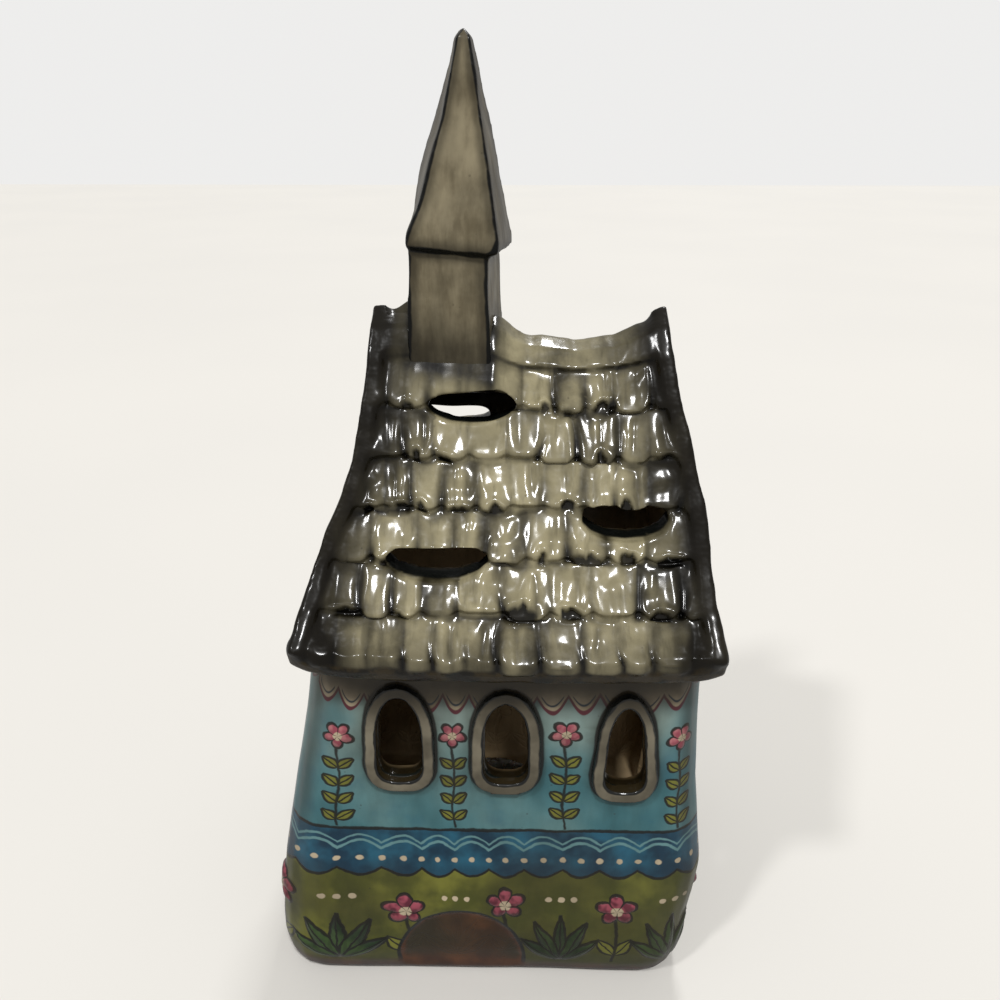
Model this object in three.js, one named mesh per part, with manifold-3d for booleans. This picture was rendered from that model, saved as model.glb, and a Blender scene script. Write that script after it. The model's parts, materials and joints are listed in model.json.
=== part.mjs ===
// A glazed ceramic tea light house in the shape of a small church, built from clay slabs, strips and rolls.
// Millimetres, +Z up. The origin is on the table under the middle of the house, and the front faces -Y.
import * as THREE from "three";
import { mergeVertices } from "three/addons/utils/BufferGeometryUtils.js";
import Module from "manifold-3d";

const wasm = await Module();
wasm.setup();

// Clay slabs and the gaps between them
const FLOOR = 6;
const WALL = 4.5;
const ROOF = 5;
const SEAM = 0.3;
const BED = 0.25;
const CORNER_RADIUS = 11;
const FOOT_ROUNDING = 3.2;

// Outline of the walls: how far each side reaches from the middle, at each height above the table
const LEFT_LINE = [
  [0, 56.6], [10, 57.2], [30, 55.4], [52, 51.6], [88, 44.7], [104, 42], [140, 29.5], [180, 25],
];
const RIGHT_LINE = [
  [0, 53.2], [17, 54.6], [36, 57.2], [58, 54.4], [88, 53.2], [104, 52.6], [140, 46], [180, 40],
];
const DEPTH_LINE = [[0, 43.6], [12, 45.2], [52, 42.2], [104, 39.2], [180, 39.2]];

// Roof line from the ridge down to the eave, on the shingles' faces: distance from the ridge and height
const ROOF_LINE = [
  [0, 169.6], [5, 168], [9, 164.4], [15.4, 155], [21.5, 144.5],
  [27.4, 134.3], [33.7, 124.2], [41.2, 114.1], [49.3, 106.2],
];
// Share of the ridge's sway and of the eave's upturn that each of those points takes
const SWAY_SHARE = [1, 0.92, 0.5, 0.15, 0.04, 0, 0, 0, 0];
const UPTURN_SHARE = [0, 0, 0, 0, 0, 0, 0.1, 0.4, 1];
// The ridge's height along the house, and how far each rake reaches at each height
const RIDGE_LINE = [
  [-45, 173.4], [-20, 173.8], [-8, 172.6], [3.4, 170.3], [12, 168],
  [21, 167.2], [32, 169.2], [39, 172.6], [44, 174.2], [60, 174.4],
];
const LEFT_RAKE = [
  [96, 45.4], [108, 44], [117, 41.4], [126, 38.8], [132, 36.2], [138, 33.2], [148, 30.8], [163, 28.7], [180, 27.9],
];
const RIGHT_RAKE = [
  [96, 55.4], [108, 54.4], [114, 52.8], [123, 51.9], [133, 51], [141, 49.4], [151, 46.9], [163, 44.2], [180, 42.4],
];
const LEFT_UPTURN = 3;
const RIGHT_UPTURN = 0.6;
const UPTURN_START = 18;
const UPTURN_LENGTH = 27;

// Shingle courses
const COURSE_LIFT = 2.4;
const COURSE_HEAD = 0.8;
const SHINGLE_WIDTH = 8.6;
const SHINGLE_DROP = 1.2;
const SHINGLE_JITTER = 0.24;
// Share of a tab's width over which each lower corner is rounded off
const TAB_CORNER = 0.22;

// Rake copings, ridge strip and eave rolls
const COPING_WIDTH = 3.6;
const COPING_PROUD = 0.7;
const PEAK_RISE = 1.8;
const RIDGE_PROUD = 0.6;
// The ridge strip reaches down to this point of the roof line, where the first course starts
const FIRST_COURSE = 2;
const EAVE_ROLL_RADIUS = 3.4;
const EAVE_ROLL_SETBACK = 1;
const EAVE_ROLL_SIDES = 8;
// How far from its ends a roll starts to thin, and how thin it gets there
const EAVE_ROLL_TAPER = 5;
const EAVE_ROLL_END = 0.62;

// Vent slots: middle, width and height, cut level through the front and back slopes.
// A slot's curve: how far the lower lip sags and the upper lip rises, and where along it each bends
const SLOT_CURVE = { sag: 0.66, sagReach: 0.8, lip: 0.5, lipReach: 0.7, flatReach: 0.45 };
const FRONT_SLOTS = [
  { x: -3.7, z: 154.4, width: 21.8, height: 6.2 },
  { x: 32.5, z: 131.2, width: 20.7, height: 7 },
  { x: -11.4, z: 123, width: 24.4, height: 7 },
];
const BACK_SLOTS = [
  { x: -12, z: 143.6, width: 24, height: 7 },
  { x: 27, z: 131.4, width: 21, height: 7 },
  { x: -6, z: 121.6, width: 22, height: 7 },
];

// Windows: middle, sill and size of each opening; the surround is a band round it.
// A window's curve, as shares of its size: rounded foot, shoulder height, waist, crown and haunch
const WINDOW_CURVE = {
  foot: 0.42, shoulder: 0.52, waistPinch: 0.22, crown: 0.56, crownPinch: 0.36, haunch: 0.6,
};
const SURROUND_BAND = 3.1;
const SURROUND_PROUD = 1.9;
const FRONT_WINDOWS = [
  { x: -21.2, sill: 67, width: 11.2, height: 24, pinch: 0.1 },
  { x: 4.9, sill: 66.6, width: 11, height: 23, pinch: 0.05 },
  { x: 34.3, sill: 64.6, width: 10, height: 24.4, pinch: 0.55 },
];
const GABLE_WINDOW = { x: 0, sill: 67, width: 11, height: 24, pinch: 0.1 };

// Low arch pressed into the foot of the front wall
const FOOT_ARCH = { x: -6.9, width: 34, height: 25, depth: 1.1 };

// Doorway in the right gable, through which the tea light goes in
const DOORWAY = { y: 0, width: 50, height: 48 };

// Tower and spire
const TOWER = { x: -7.9, y: -0.3, foot: 19.8, head: 18.2 };
const TOWER_TURN = THREE.MathUtils.degToRad(-7.5);
const RIM_Z = 192.8;
const RIM_SLOPE = 0.07;
const RIM_HEIGHT = 3.6;
const RIM_WIDTH = 21.8;
const RIM_BEVEL = 1.4;
const RIM_SHIFT = 1.1;
const SPIRE_Z = 235;
const SPIRE_TIP_WIDTH = 4.5;
const SPIRE_TOP_WIDTH = 1.2;
const SPIRE_TIP_HEIGHT = 1.6;
const SPIRE_TIP_SHIFT = 2.3;

// Tea light
const CUP_DIAMETER = 38.4;
const CUP_HEIGHT = 15.6;
const CUP_WALL = 0.5;
const CUP_CHAMFER = 1.2;
const CUP_DRAFT = 0.4;
const WAX_BELOW_RIM = 2.6;
const WAX_CLEARANCE = 0.3;
const WAX_RIM = 3;
const WAX_DISH = 0.8;
const WICK_DIAMETER = 1.8;
const WICK_ABOVE_WAX = 7;
const SUSTAINER_DIAMETER = 13;
const SUSTAINER_PLATE = 0.5;
const SUSTAINER_NECK = 4;
const SUSTAINER_NECK_DIAMETER = 3.4;

// A smooth curve through [position, value] pairs that never swings past them
function smoothLine(pairs) {
  const slopes = pairs.map((pair, i) => {
    if (i === 0 || i === pairs.length - 1) return 0;
    const before = (pair[1] - pairs[i - 1][1]) / (pair[0] - pairs[i - 1][0]);
    const after = (pairs[i + 1][1] - pair[1]) / (pairs[i + 1][0] - pair[0]);
    return before * after <= 0 ? 0 : (2 * before * after) / (before + after);
  });
  return (position) => {
    if (position <= pairs[0][0]) return pairs[0][1];
    const next = pairs.findIndex((pair) => pair[0] > position);
    if (next < 0) return pairs[pairs.length - 1][1];
    const [p0, v0] = pairs[next - 1];
    const [p1, v1] = pairs[next];
    const span = p1 - p0;
    const t = (position - p0) / span;
    const ease = t * t * (3 - 2 * t);
    return v0 + (v1 - v0) * ease
      + span * (slopes[next - 1] * t * (1 - t) * (1 - t) - slopes[next] * t * t * (1 - t));
  };
}

const leftReach = smoothLine(LEFT_LINE);
const rightReach = smoothLine(RIGHT_LINE);
const depthReach = smoothLine(DEPTH_LINE);
const ridgeHeight = smoothLine(RIDGE_LINE);

const lerp = THREE.MathUtils.lerp;
const steps = (from, to, count) => Array.from({ length: count + 1 }, (_, i) => lerp(from, to, i / count));
// A repeatable value from 0 to 1 for hand-cut unevenness
const uneven = (seed) => THREE.MathUtils.euclideanModulo(Math.sin(seed * 12.9898) * 43758.5453, 1);

// Solids

function solidOf(geometry) {
  const bare = geometry.index ? geometry.toNonIndexed() : geometry.clone();
  bare.deleteAttribute("normal");
  bare.deleteAttribute("uv");
  const merged = mergeVertices(bare, 1e-4);
  return new wasm.Manifold(new wasm.Mesh({
    numProp: 3,
    vertProperties: merged.attributes.position.array,
    triVerts: new Uint32Array(merged.index.array),
  }));
}

function geometryOf(solid) {
  const mesh = solid.getMesh();
  const points = new Float32Array(mesh.numVert * 3);
  for (let i = 0; i < mesh.numVert; i++) {
    points.set(mesh.vertProperties.subarray(i * mesh.numProp, i * mesh.numProp + 3), i * 3);
  }
  const geometry = new THREE.BufferGeometry();
  geometry.setAttribute("position", new THREE.BufferAttribute(points, 3));
  geometry.setIndex(new THREE.BufferAttribute(new Uint32Array(mesh.triVerts), 1));
  geometry.computeVertexNormals();
  return geometry;
}

const join = (solids) => solids.reduce((whole, next) => whole.add(next));

// A solid through a row of rings with as many points each, closed by a flat fan at both ends
function loft(rings) {
  const count = rings[0].length;
  const points = rings.flat();
  const faces = [];
  for (let r = 0; r + 1 < rings.length; r++) {
    for (let i = 0; i < count; i++) {
      const a = r * count + i;
      const b = r * count + ((i + 1) % count);
      faces.push(a, b, b + count, a, b + count, a + count);
    }
  }
  for (const [ring, flip] of [[0, true], [rings.length - 1, false]]) {
    const middle = points.length;
    points.push([0, 1, 2].map((axis) => rings[ring].reduce((sum, p) => sum + p[axis], 0) / count));
    for (let i = 0; i < count; i++) {
      const a = ring * count + i;
      const b = ring * count + ((i + 1) % count);
      faces.push(...(flip ? [b, a, middle] : [a, b, middle]));
    }
  }
  const geometry = new THREE.BufferGeometry();
  geometry.setAttribute("position", new THREE.Float32BufferAttribute(points.flat(), 3));
  geometry.setIndex(faces);
  const solid = solidOf(geometry);
  if (solid.volume() > 0) return solid;
  geometry.setIndex(faces.map((_, i) => faces[i - (i % 3) + [0, 2, 1][i % 3]]));
  return solidOf(geometry);
}

// A flat outline drawn in x and z, pushed along y; or drawn in y and z, pushed along x
function extruded(shape, depth, curveSegments) {
  return new THREE.ExtrudeGeometry(shape, { depth, bevelEnabled: false, curveSegments }).rotateX(Math.PI / 2);
}

function pushAlongY(shape, from, to, segments) {
  return solidOf(extruded(shape, to - from, segments).translate(0, to, 0));
}

function pushAlongX(shape, from, to, segments) {
  return solidOf(extruded(shape, to - from, segments).rotateZ(Math.PI / 2).translate(from, 0, 0));
}

// The body of the house

const BODY_TOP = 182;
const CORNER_STEPS = 4;

function bodyRing(z, grow) {
  const left = -leftReach(z) - grow;
  const right = rightReach(z) + grow;
  const depth = depthReach(z) + grow;
  const radius = CORNER_RADIUS + grow;
  const corners = [[right, depth, 0], [left, depth, 1], [left, -depth, 2], [right, -depth, 3]];
  return corners.flatMap(([x, y, quarter]) => {
    const middleX = x - Math.sign(x) * radius;
    const middleY = y - Math.sign(y) * radius;
    return steps(quarter, quarter + 1, CORNER_STEPS).map((turn) => {
      const angle = (turn * Math.PI) / 2;
      return [middleX + radius * Math.cos(angle), middleY + radius * Math.sin(angle), z];
    });
  });
}

const WALL_STEPS = [0, 5, 12, 20, 30, 42, 56, 74, 90, 106, 130, BODY_TOP - FLOOR];

function bodyLoft(grow, below, above) {
  const heights = WALL_STEPS.map((step, i) => {
    if (i === 0) return FLOOR - below;
    return i === WALL_STEPS.length - 1 ? FLOOR + step + above : FLOOR + step;
  });
  return loft(heights.map((z) => bodyRing(z, grow)));
}

// The roof surface, at a depth below the faces of the shingles

const stationNormals = ROOF_LINE.map((_, i) => {
  if (i === 0) return [0, 1];
  const before = ROOF_LINE[i - 1];
  const after = ROOF_LINE[Math.min(i + 1, ROOF_LINE.length - 1)];
  const length = Math.hypot(after[0] - before[0], after[1] - before[1]);
  return [(before[1] - after[1]) / length, (after[0] - before[0]) / length];
});
const EAVE = ROOF_LINE.length - 1;
// Length of the roof line from one of its points to the next
const runFrom = (i) => Math.hypot(ROOF_LINE[i + 1][0] - ROOF_LINE[i][0], ROOF_LINE[i + 1][1] - ROOF_LINE[i][1]);
const EAVE_RUN = runFrom(EAVE - 1);

function upturn(x) {
  const t = THREE.MathUtils.clamp((Math.abs(x) - UPTURN_START) / UPTURN_LENGTH, 0, 1.2);
  return (x < 0 ? LEFT_UPTURN : RIGHT_UPTURN) * t * t;
}

// station may lie between two points of the roof line; side is -1 for the front slope and 1 for the back
function roofPoint(x, station, depth, side, rise = 0) {
  const i = Math.min(Math.floor(station), EAVE - 1);
  const t = station - i;
  const mix = (list) => lerp(list[i], list[i + 1], t);
  const mixPair = (list, axis) => lerp(list[i][axis], list[i + 1][axis], t);
  const out = mixPair(ROOF_LINE, 0) - depth * mixPair(stationNormals, 0);
  const up = mixPair(ROOF_LINE, 1) - depth * mixPair(stationNormals, 1);
  const sway = (ridgeHeight(x) - ROOF_LINE[0][1]) * mix(SWAY_SHARE);
  return [x, side * out, up + sway + upturn(x) * mix(UPTURN_SHARE) + rise];
}

const ROOF_REACH = RIGHT_RAKE[0][1] + 6;
const ROOF_COLUMNS = 24;
const roofColumns = steps(-ROOF_REACH, ROOF_REACH, ROOF_COLUMNS);
const SLAB_DEPTH = COURSE_LIFT;
const UNDERSIDE = COURSE_LIFT + ROOF;
const EAVE_BACKSET = (EAVE_ROLL_SETBACK + EAVE_ROLL_RADIUS + SEAM) / EAVE_RUN;
const slopeStations = [...steps(0, EAVE - 1, EAVE - 1)];

// Everything below the roof surface at a depth, for cutting what stands under or on the roof
function belowRoof(depth) {
  return loft(roofColumns.map((x) => [
    ...[...slopeStations, EAVE].map((s) => roofPoint(x, s, depth, -1)).reverse(),
    ...[...slopeStations, EAVE].slice(1).map((s) => roofPoint(x, s, depth, 1)),
    [x, ROOF_REACH, -ROOF_REACH],
    [x, -ROOF_REACH, -ROOF_REACH],
  ]));
}

// A layer of one slope between two depths and two stations, trimmed at the ridge to leave a seam
function slopeLayer(side, top, bottom, stations) {
  return loft(roofColumns.map((x) => {
    const outer = stations.map((s) => roofPoint(x, s, top, side));
    const inner = stations.map((s) => roofPoint(x, s, bottom, side)).reverse();
    return [...outer, ...inner].map(([px, py, pz]) => [px, side * Math.max(side * py, SEAM / 2), pz]);
  }));
}

// The house's outline seen from the front, between the rakes, drawn in by an inset
const leftRake = smoothLine(LEFT_RAKE);
const rightRake = smoothLine(RIGHT_RAKE);
const RAKE_BOTTOM = 90;
const RAKE_TOP = 184;
const RAKE_STEPS = 14;

function betweenRakes(inset) {
  const shape = new THREE.Shape();
  const heights = steps(RAKE_BOTTOM, RAKE_TOP, RAKE_STEPS);
  heights.forEach((z, i) => shape[i ? "lineTo" : "moveTo"](-leftRake(z) + inset, z));
  heights.reverse().forEach((z) => shape.lineTo(rightRake(z) - inset, z));
  return pushAlongY(shape, -ROOF_REACH, ROOF_REACH, 1);
}

// Outlines

function windowOutline({ x, sill, width, height, pinch }, band) {
  const half = width / 2 + band;
  const bottom = sill - band;
  const top = sill + height + band;
  const round = Math.min(half, width * WINDOW_CURVE.foot + band);
  const shoulder = lerp(bottom, top, WINDOW_CURVE.shoulder);
  const haunch = lerp(shoulder, top, WINDOW_CURVE.haunch);
  const waist = half * (1 - WINDOW_CURVE.waistPinch * pinch);
  const crown = half * (WINDOW_CURVE.crown - WINDOW_CURVE.crownPinch * pinch);
  const shape = new THREE.Shape();
  shape.moveTo(x - half + round, bottom);
  shape.lineTo(x + half - round, bottom);
  shape.quadraticCurveTo(x + half, bottom, x + half, bottom + round);
  shape.lineTo(x + waist, shoulder);
  shape.bezierCurveTo(x + waist, haunch, x + crown, top, x, top);
  shape.bezierCurveTo(x - crown, top, x - waist, haunch, x - waist, shoulder);
  shape.lineTo(x - half, bottom + round);
  shape.quadraticCurveTo(x - half, bottom, x - half + round, bottom);
  return shape;
}

function archOutline(x, bottom, width, height) {
  const shape = new THREE.Shape();
  const spring = bottom + height - width / 2;
  shape.moveTo(x - width / 2, bottom);
  shape.lineTo(x + width / 2, bottom);
  shape.lineTo(x + width / 2, spring);
  shape.absarc(x, spring, width / 2, 0, Math.PI, false);
  return shape;
}

// A vent slot has a nearly straight upper lip and a sagging lower one
function slotOutline({ x, z, width, height }) {
  const half = width / 2;
  const lip = z + height * SLOT_CURVE.lip;
  const sag = z - height * SLOT_CURVE.sag;
  const sagReach = half * SLOT_CURVE.sagReach;
  const lipReach = half * SLOT_CURVE.lipReach;
  const flatReach = half * SLOT_CURVE.flatReach;
  const shape = new THREE.Shape();
  shape.moveTo(x - half, z);
  shape.bezierCurveTo(x - sagReach, sag, x + sagReach, sag, x + half, z);
  shape.bezierCurveTo(x + half, lip, x + lipReach, lip, x + flatReach, lip);
  shape.lineTo(x - flatReach, lip);
  shape.bezierCurveTo(x - lipReach, lip, x - half, lip, x - half, z);
  return shape;
}

const CURVE_STEPS = 5;
const SLOT_STEPS = 6;

// Walls: the front and back stand between the gables, which take the corners

const outerBody = bodyLoft(0, 0, 0);
const shell = outerBody.subtract(bodyLoft(-WALL, 1, 1)).intersect(belowRoof(UNDERSIDE + BED));

function betweenGables(inset) {
  return loft(WALL_STEPS.map((step, i) => {
    const z = FLOOR + step + (i === 0 ? -1 : 0);
    const left = -leftReach(z) + inset;
    const right = rightReach(z) - inset;
    return [[right, ROOF_REACH, z], [left, ROOF_REACH, z], [left, -ROOF_REACH, z], [right, -ROOF_REACH, z]];
  }));
}

const HOUSE_REACH = LEFT_LINE[0][1] + DEPTH_LINE[0][1];

function halfSpace(axis, side, from = 0) {
  const box = new THREE.BoxGeometry(4 * HOUSE_REACH, 4 * HOUSE_REACH, 8 * HOUSE_REACH);
  const offset = [0, 0, 0];
  offset[axis] = from + side * 2 * HOUSE_REACH;
  return solidOf(box.translate(...offset));
}

const middleWalls = shell.intersect(betweenGables(WALL + SEAM));
const gables = shell.subtract(betweenGables(WALL));

const windowHole = (window, from, to) => pushAlongY(windowOutline(window, 0), from, to, CURVE_STEPS);
const footArchShape = archOutline(FOOT_ARCH.x, -1, FOOT_ARCH.width, FOOT_ARCH.height + 1);
const footArchCut = pushAlongY(footArchShape, -HOUSE_REACH, 0, CURVE_STEPS)
  .subtract(bodyLoft(-FOOT_ARCH.depth, FLOOR + 2, 0));

const frontWall = middleWalls.intersect(halfSpace(1, -1))
  .subtract(join(FRONT_WINDOWS.map((window) => windowHole(window, -HOUSE_REACH, 0))))
  .subtract(footArchCut);
const backWall = middleWalls.intersect(halfSpace(1, 1));
const gableWindowShape = windowOutline(GABLE_WINDOW, 0);
const leftGable = gables.intersect(halfSpace(0, -1))
  .subtract(pushAlongX(gableWindowShape, -HOUSE_REACH, 0, CURVE_STEPS));
const doorwayShape = archOutline(DOORWAY.y, FLOOR - 1, DOORWAY.width, DOORWAY.height + 1);
const rightGable = gables.intersect(halfSpace(0, 1))
  .subtract(pushAlongX(gableWindowShape, 0, HOUSE_REACH, CURVE_STEPS))
  .subtract(pushAlongX(doorwayShape, 0, HOUSE_REACH, 2 * CURVE_STEPS));

const footSteps = [[0, 1], [0.12, 0.55], [0.35, 0.2], [1, 0]];
const floorSlab = loft(footSteps.map(([height, share]) => bodyRing(FLOOR * height, -FOOT_ROUNDING * share)))
  .subtract(footArchCut);

// Window surrounds follow the flare of the wall that they lie on

const surroundLayer = bodyLoft(SURROUND_PROUD, 0, 0).subtract(bodyLoft(BED, 1, 1));

function surroundBand(window, push, from, to) {
  const band = push(windowOutline(window, SURROUND_BAND), from, to, CURVE_STEPS)
    .subtract(push(windowOutline(window, 0), from - 1, to + 1, CURVE_STEPS));
  return surroundLayer.intersect(band);
}

// Roof slabs, with the slots cut level through them and through the shingles

function slotCuts(slots, side) {
  const [from, to] = side < 0 ? [-ROOF_REACH, 0] : [0, ROOF_REACH];
  return join(slots.map((slot) => pushAlongY(slotOutline(slot), from, to, SLOT_STEPS)));
}

const slopes = [
  { name: "front", side: -1, slots: slotCuts(FRONT_SLOTS, -1) },
  { name: "back", side: 1, slots: slotCuts(BACK_SLOTS, 1) },
];

function roofSlab({ side, slots }) {
  return slopeLayer(side, SLAB_DEPTH, UNDERSIDE, [...slopeStations, EAVE - EAVE_BACKSET])
    .intersect(betweenRakes(SEAM)).subtract(slots);
}

// One course of shingles: a wedge-shaped strip, thin at its head, whose lower edge is cut into rounded tabs
function shingleCourse({ side, slots }, row) {
  const columns = [];
  let x = -ROOF_REACH + SHINGLE_WIDTH * uneven(row + 3 * side);
  for (let tab = 0; x < ROOF_REACH; tab++) {
    const seed = row * 17 + tab * 3 + side;
    const width = SHINGLE_WIDTH * (1 + 2 * SHINGLE_JITTER * (uneven(seed) - 0.5));
    const drop = SHINGLE_DROP * 0.5 * uneven(seed + 0.5);
    columns.push([x, SHINGLE_DROP], [x + width * TAB_CORNER, drop], [x + width * (1 - TAB_CORNER), drop]);
    x += width;
  }
  const run = runFrom(row);
  const head = row + SEAM / run;
  const bottom = COURSE_LIFT - BED;
  const strip = loft(columns.map(([at, drop]) => {
    const tail = row + 1 - drop / run;
    return [
      roofPoint(at, head, bottom, side),
      roofPoint(at, tail, bottom, side),
      roofPoint(at, tail, 0, side),
      roofPoint(at, head, COURSE_LIFT - COURSE_HEAD, side),
    ];
  }));
  return strip.intersect(betweenRakes(COPING_WIDTH + 2 * SEAM)).subtract(slots);
}

// Ridge strip folded over the joint of the two slopes, following the sway between the copings
function ridgeStrip() {
  const edges = steps(0, FIRST_COURSE, FIRST_COURSE);
  const bottom = COURSE_LIFT - BED;
  const proud = (station) => (station === FIRST_COURSE ? 0 : RIDGE_PROUD);
  const columns = roofColumns.map((x) => [
    ...edges.map((s) => roofPoint(x, s, -proud(s), -1)).reverse(),
    ...edges.slice(1).map((s) => roofPoint(x, s, -proud(s), 1)),
    ...edges.map((s) => roofPoint(x, s, bottom, 1)).reverse(),
    ...edges.slice(1).map((s) => roofPoint(x, s, bottom, -1)),
  ]);
  return loft(columns).intersect(betweenRakes(COPING_WIDTH + 2 * SEAM));
}

// Copings lie on the slabs along each rake and rise to a peak over the ridge
function copings() {
  const stations = [...slopeStations, EAVE];
  const rise = (station) => PEAK_RISE * Math.max(0, 1 - station);
  const layer = loft(roofColumns.map((x) => [
    ...stations.map((s) => roofPoint(x, s, -COPING_PROUD, -1, rise(s))).reverse(),
    ...stations.slice(1).map((s) => roofPoint(x, s, -COPING_PROUD, 1, rise(s))),
    ...stations.map((s) => roofPoint(x, s, COURSE_LIFT - BED, 1)).reverse(),
    ...stations.slice(1).map((s) => roofPoint(x, s, COURSE_LIFT - BED, -1)),
  ]));
  return layer.intersect(betweenRakes(0)).subtract(betweenRakes(COPING_WIDTH));
}

// Eave rolls close the lower edge of each slab, under the last course
function eaveRoll({ side }) {
  const depth = COURSE_LIFT + EAVE_ROLL_RADIUS;
  const station = EAVE - EAVE_ROLL_SETBACK / EAVE_RUN;
  const [, , rollZ] = roofPoint(0, station, depth, side);
  const left = -leftRake(rollZ) + SEAM;
  const right = rightRake(rollZ) - SEAM;
  const ring = (x) => {
    const [, y, z] = roofPoint(x, station, depth, side);
    const toEnd = Math.min(x - left, right - x);
    const share = THREE.MathUtils.smoothstep(toEnd, 0, EAVE_ROLL_TAPER);
    const radius = EAVE_ROLL_RADIUS * lerp(EAVE_ROLL_END, 1, share);
    return steps(0, 2 * Math.PI, EAVE_ROLL_SIDES).slice(0, -1).map((angle) => [
      x,
      y + radius * Math.cos(angle),
      z + radius * Math.sin(angle),
    ]);
  };
  const middle = steps(left + EAVE_ROLL_TAPER, right - EAVE_ROLL_TAPER, ROOF_COLUMNS / 2);
  const taper = steps(0, EAVE_ROLL_TAPER, 3).slice(0, -1);
  const leftEnd = taper.map((step) => left + step);
  const rightEnd = taper.map((step) => right - step).reverse();
  return loft([...leftEnd, ...middle, ...rightEnd].map(ring));
}

// Tower and spire share one axis; the spire's rim is cut on the slant, lower on the right

function turnedSquare(width, z, shift = 0, slope = 0) {
  const half = width / 2;
  return [[half, half], [-half, half], [-half, -half], [half, -half]].map(([x, y]) => {
    const px = TOWER.x + shift + x * Math.cos(TOWER_TURN) - y * Math.sin(TOWER_TURN);
    const py = TOWER.y + x * Math.sin(TOWER_TURN) + y * Math.cos(TOWER_TURN);
    return [px, py, z - slope * (px - TOWER.x)];
  });
}

// The tower's sides run down into the roof and are then cut to its surface
const towerFootZ = ROOF_LINE[FIRST_COURSE][1] - TOWER.foot;
const towerTopZ = RIM_Z - RIM_HEIGHT - SEAM;
const tower = loft([
  turnedSquare(TOWER.foot, towerFootZ),
  turnedSquare(TOWER.foot, ROOF_LINE[0][1]),
  turnedSquare(TOWER.head, towerTopZ, 0, RIM_SLOPE),
]).subtract(belowRoof(-RIDGE_PROUD - SEAM));

const spire = loft([
  turnedSquare(TOWER.head, RIM_Z - RIM_HEIGHT, 0, RIM_SLOPE),
  turnedSquare(RIM_WIDTH, RIM_Z - RIM_HEIGHT + RIM_BEVEL, RIM_SHIFT, RIM_SLOPE),
  turnedSquare(RIM_WIDTH, RIM_Z, RIM_SHIFT, RIM_SLOPE),
  turnedSquare(SPIRE_TIP_WIDTH, SPIRE_Z - SPIRE_TIP_HEIGHT, SPIRE_TIP_SHIFT),
  turnedSquare(SPIRE_TOP_WIDTH, SPIRE_Z, SPIRE_TIP_SHIFT),
]);

// Tea light

const ROUND_STEPS = 32;
const SMALL_ROUND_STEPS = 12;

function turned(profile, segments) {
  const geometry = new THREE.LatheGeometry(profile.map(([r, z]) => new THREE.Vector2(r, z)), segments);
  return geometry.rotateX(Math.PI / 2);
}

const cupRadius = CUP_DIAMETER / 2;
const cupInside = cupRadius - CUP_WALL;
const teaLightZ = FLOOR + SEAM;

const cup = turned([
  [0, 0], [cupRadius - CUP_DRAFT - CUP_CHAMFER, 0], [cupRadius - CUP_DRAFT, CUP_CHAMFER],
  [cupRadius, CUP_HEIGHT], [cupInside, CUP_HEIGHT], [cupInside - CUP_DRAFT, CUP_WALL + CUP_CHAMFER],
  [cupInside - CUP_DRAFT - CUP_CHAMFER, CUP_WALL], [0, CUP_WALL],
], ROUND_STEPS);

const plateBottom = CUP_WALL + BED;
const plateTop = plateBottom + SUSTAINER_PLATE;
const neckTop = plateTop + SUSTAINER_NECK;
const wickRadius = WICK_DIAMETER / 2;
const neckRadius = SUSTAINER_NECK_DIAMETER / 2;
const wickHole = wickRadius + BED;
const sustainer = turned([
  [wickHole, plateBottom], [SUSTAINER_DIAMETER / 2, plateBottom], [SUSTAINER_DIAMETER / 2, plateTop],
  [neckRadius, plateTop], [neckRadius, neckTop], [wickHole, neckTop], [wickHole, plateBottom],
], SMALL_ROUND_STEPS);

const waxTop = CUP_HEIGHT - WAX_BELOW_RIM;
const waxRadius = cupInside - WAX_CLEARANCE;
const plateHole = SUSTAINER_DIAMETER / 2 + BED;
const neckHole = neckRadius + BED;
const wax = turned([
  [neckHole, plateTop + BED], [plateHole, plateTop + BED], [plateHole, plateBottom],
  [waxRadius - CUP_DRAFT - CUP_CHAMFER, plateBottom], [waxRadius - CUP_DRAFT, plateBottom + CUP_CHAMFER],
  [waxRadius, waxTop], [waxRadius - WAX_RIM, waxTop - WAX_DISH], [wickHole, waxTop - WAX_DISH],
  [wickHole, neckTop + BED], [neckHole, neckTop + BED], [neckHole, plateTop + BED],
], ROUND_STEPS);

const wickTop = waxTop + WICK_ABOVE_WAX;
const wick = turned([
  [0, plateBottom], [wickRadius, plateBottom], [wickRadius, wickTop - wickRadius / 2],
  [wickRadius / 2, wickTop], [0, wickTop],
], SMALL_ROUND_STEPS);

// Materials

function finish(color, roughness, metalness = 0) {
  return new THREE.MeshStandardMaterial({ color, roughness, metalness });
}

const wallGlaze = () => finish(0x5a9a9e, 0.12);
const roofGlaze = () => finish(0x6d6a55, 0.1);
const steepleGlaze = () => finish(0x7d7664, 0.14);
const surroundGlaze = () => finish(0xb9ad98, 0.16);
const footGlaze = () => finish(0x4c3a22, 0.2);

// The finished house

const house = new THREE.Group();

function place(name, shape, material, parent = house) {
  const mesh = new THREE.Mesh(shape.isBufferGeometry ? shape : geometryOf(shape), material);
  mesh.name = name;
  parent.add(mesh);
}

place("floor_slab", floorSlab, footGlaze());
place("front_wall", frontWall, wallGlaze());
place("back_wall", backWall, wallGlaze());
place("left_gable", leftGable, wallGlaze());
place("right_gable", rightGable, wallGlaze());

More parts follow.
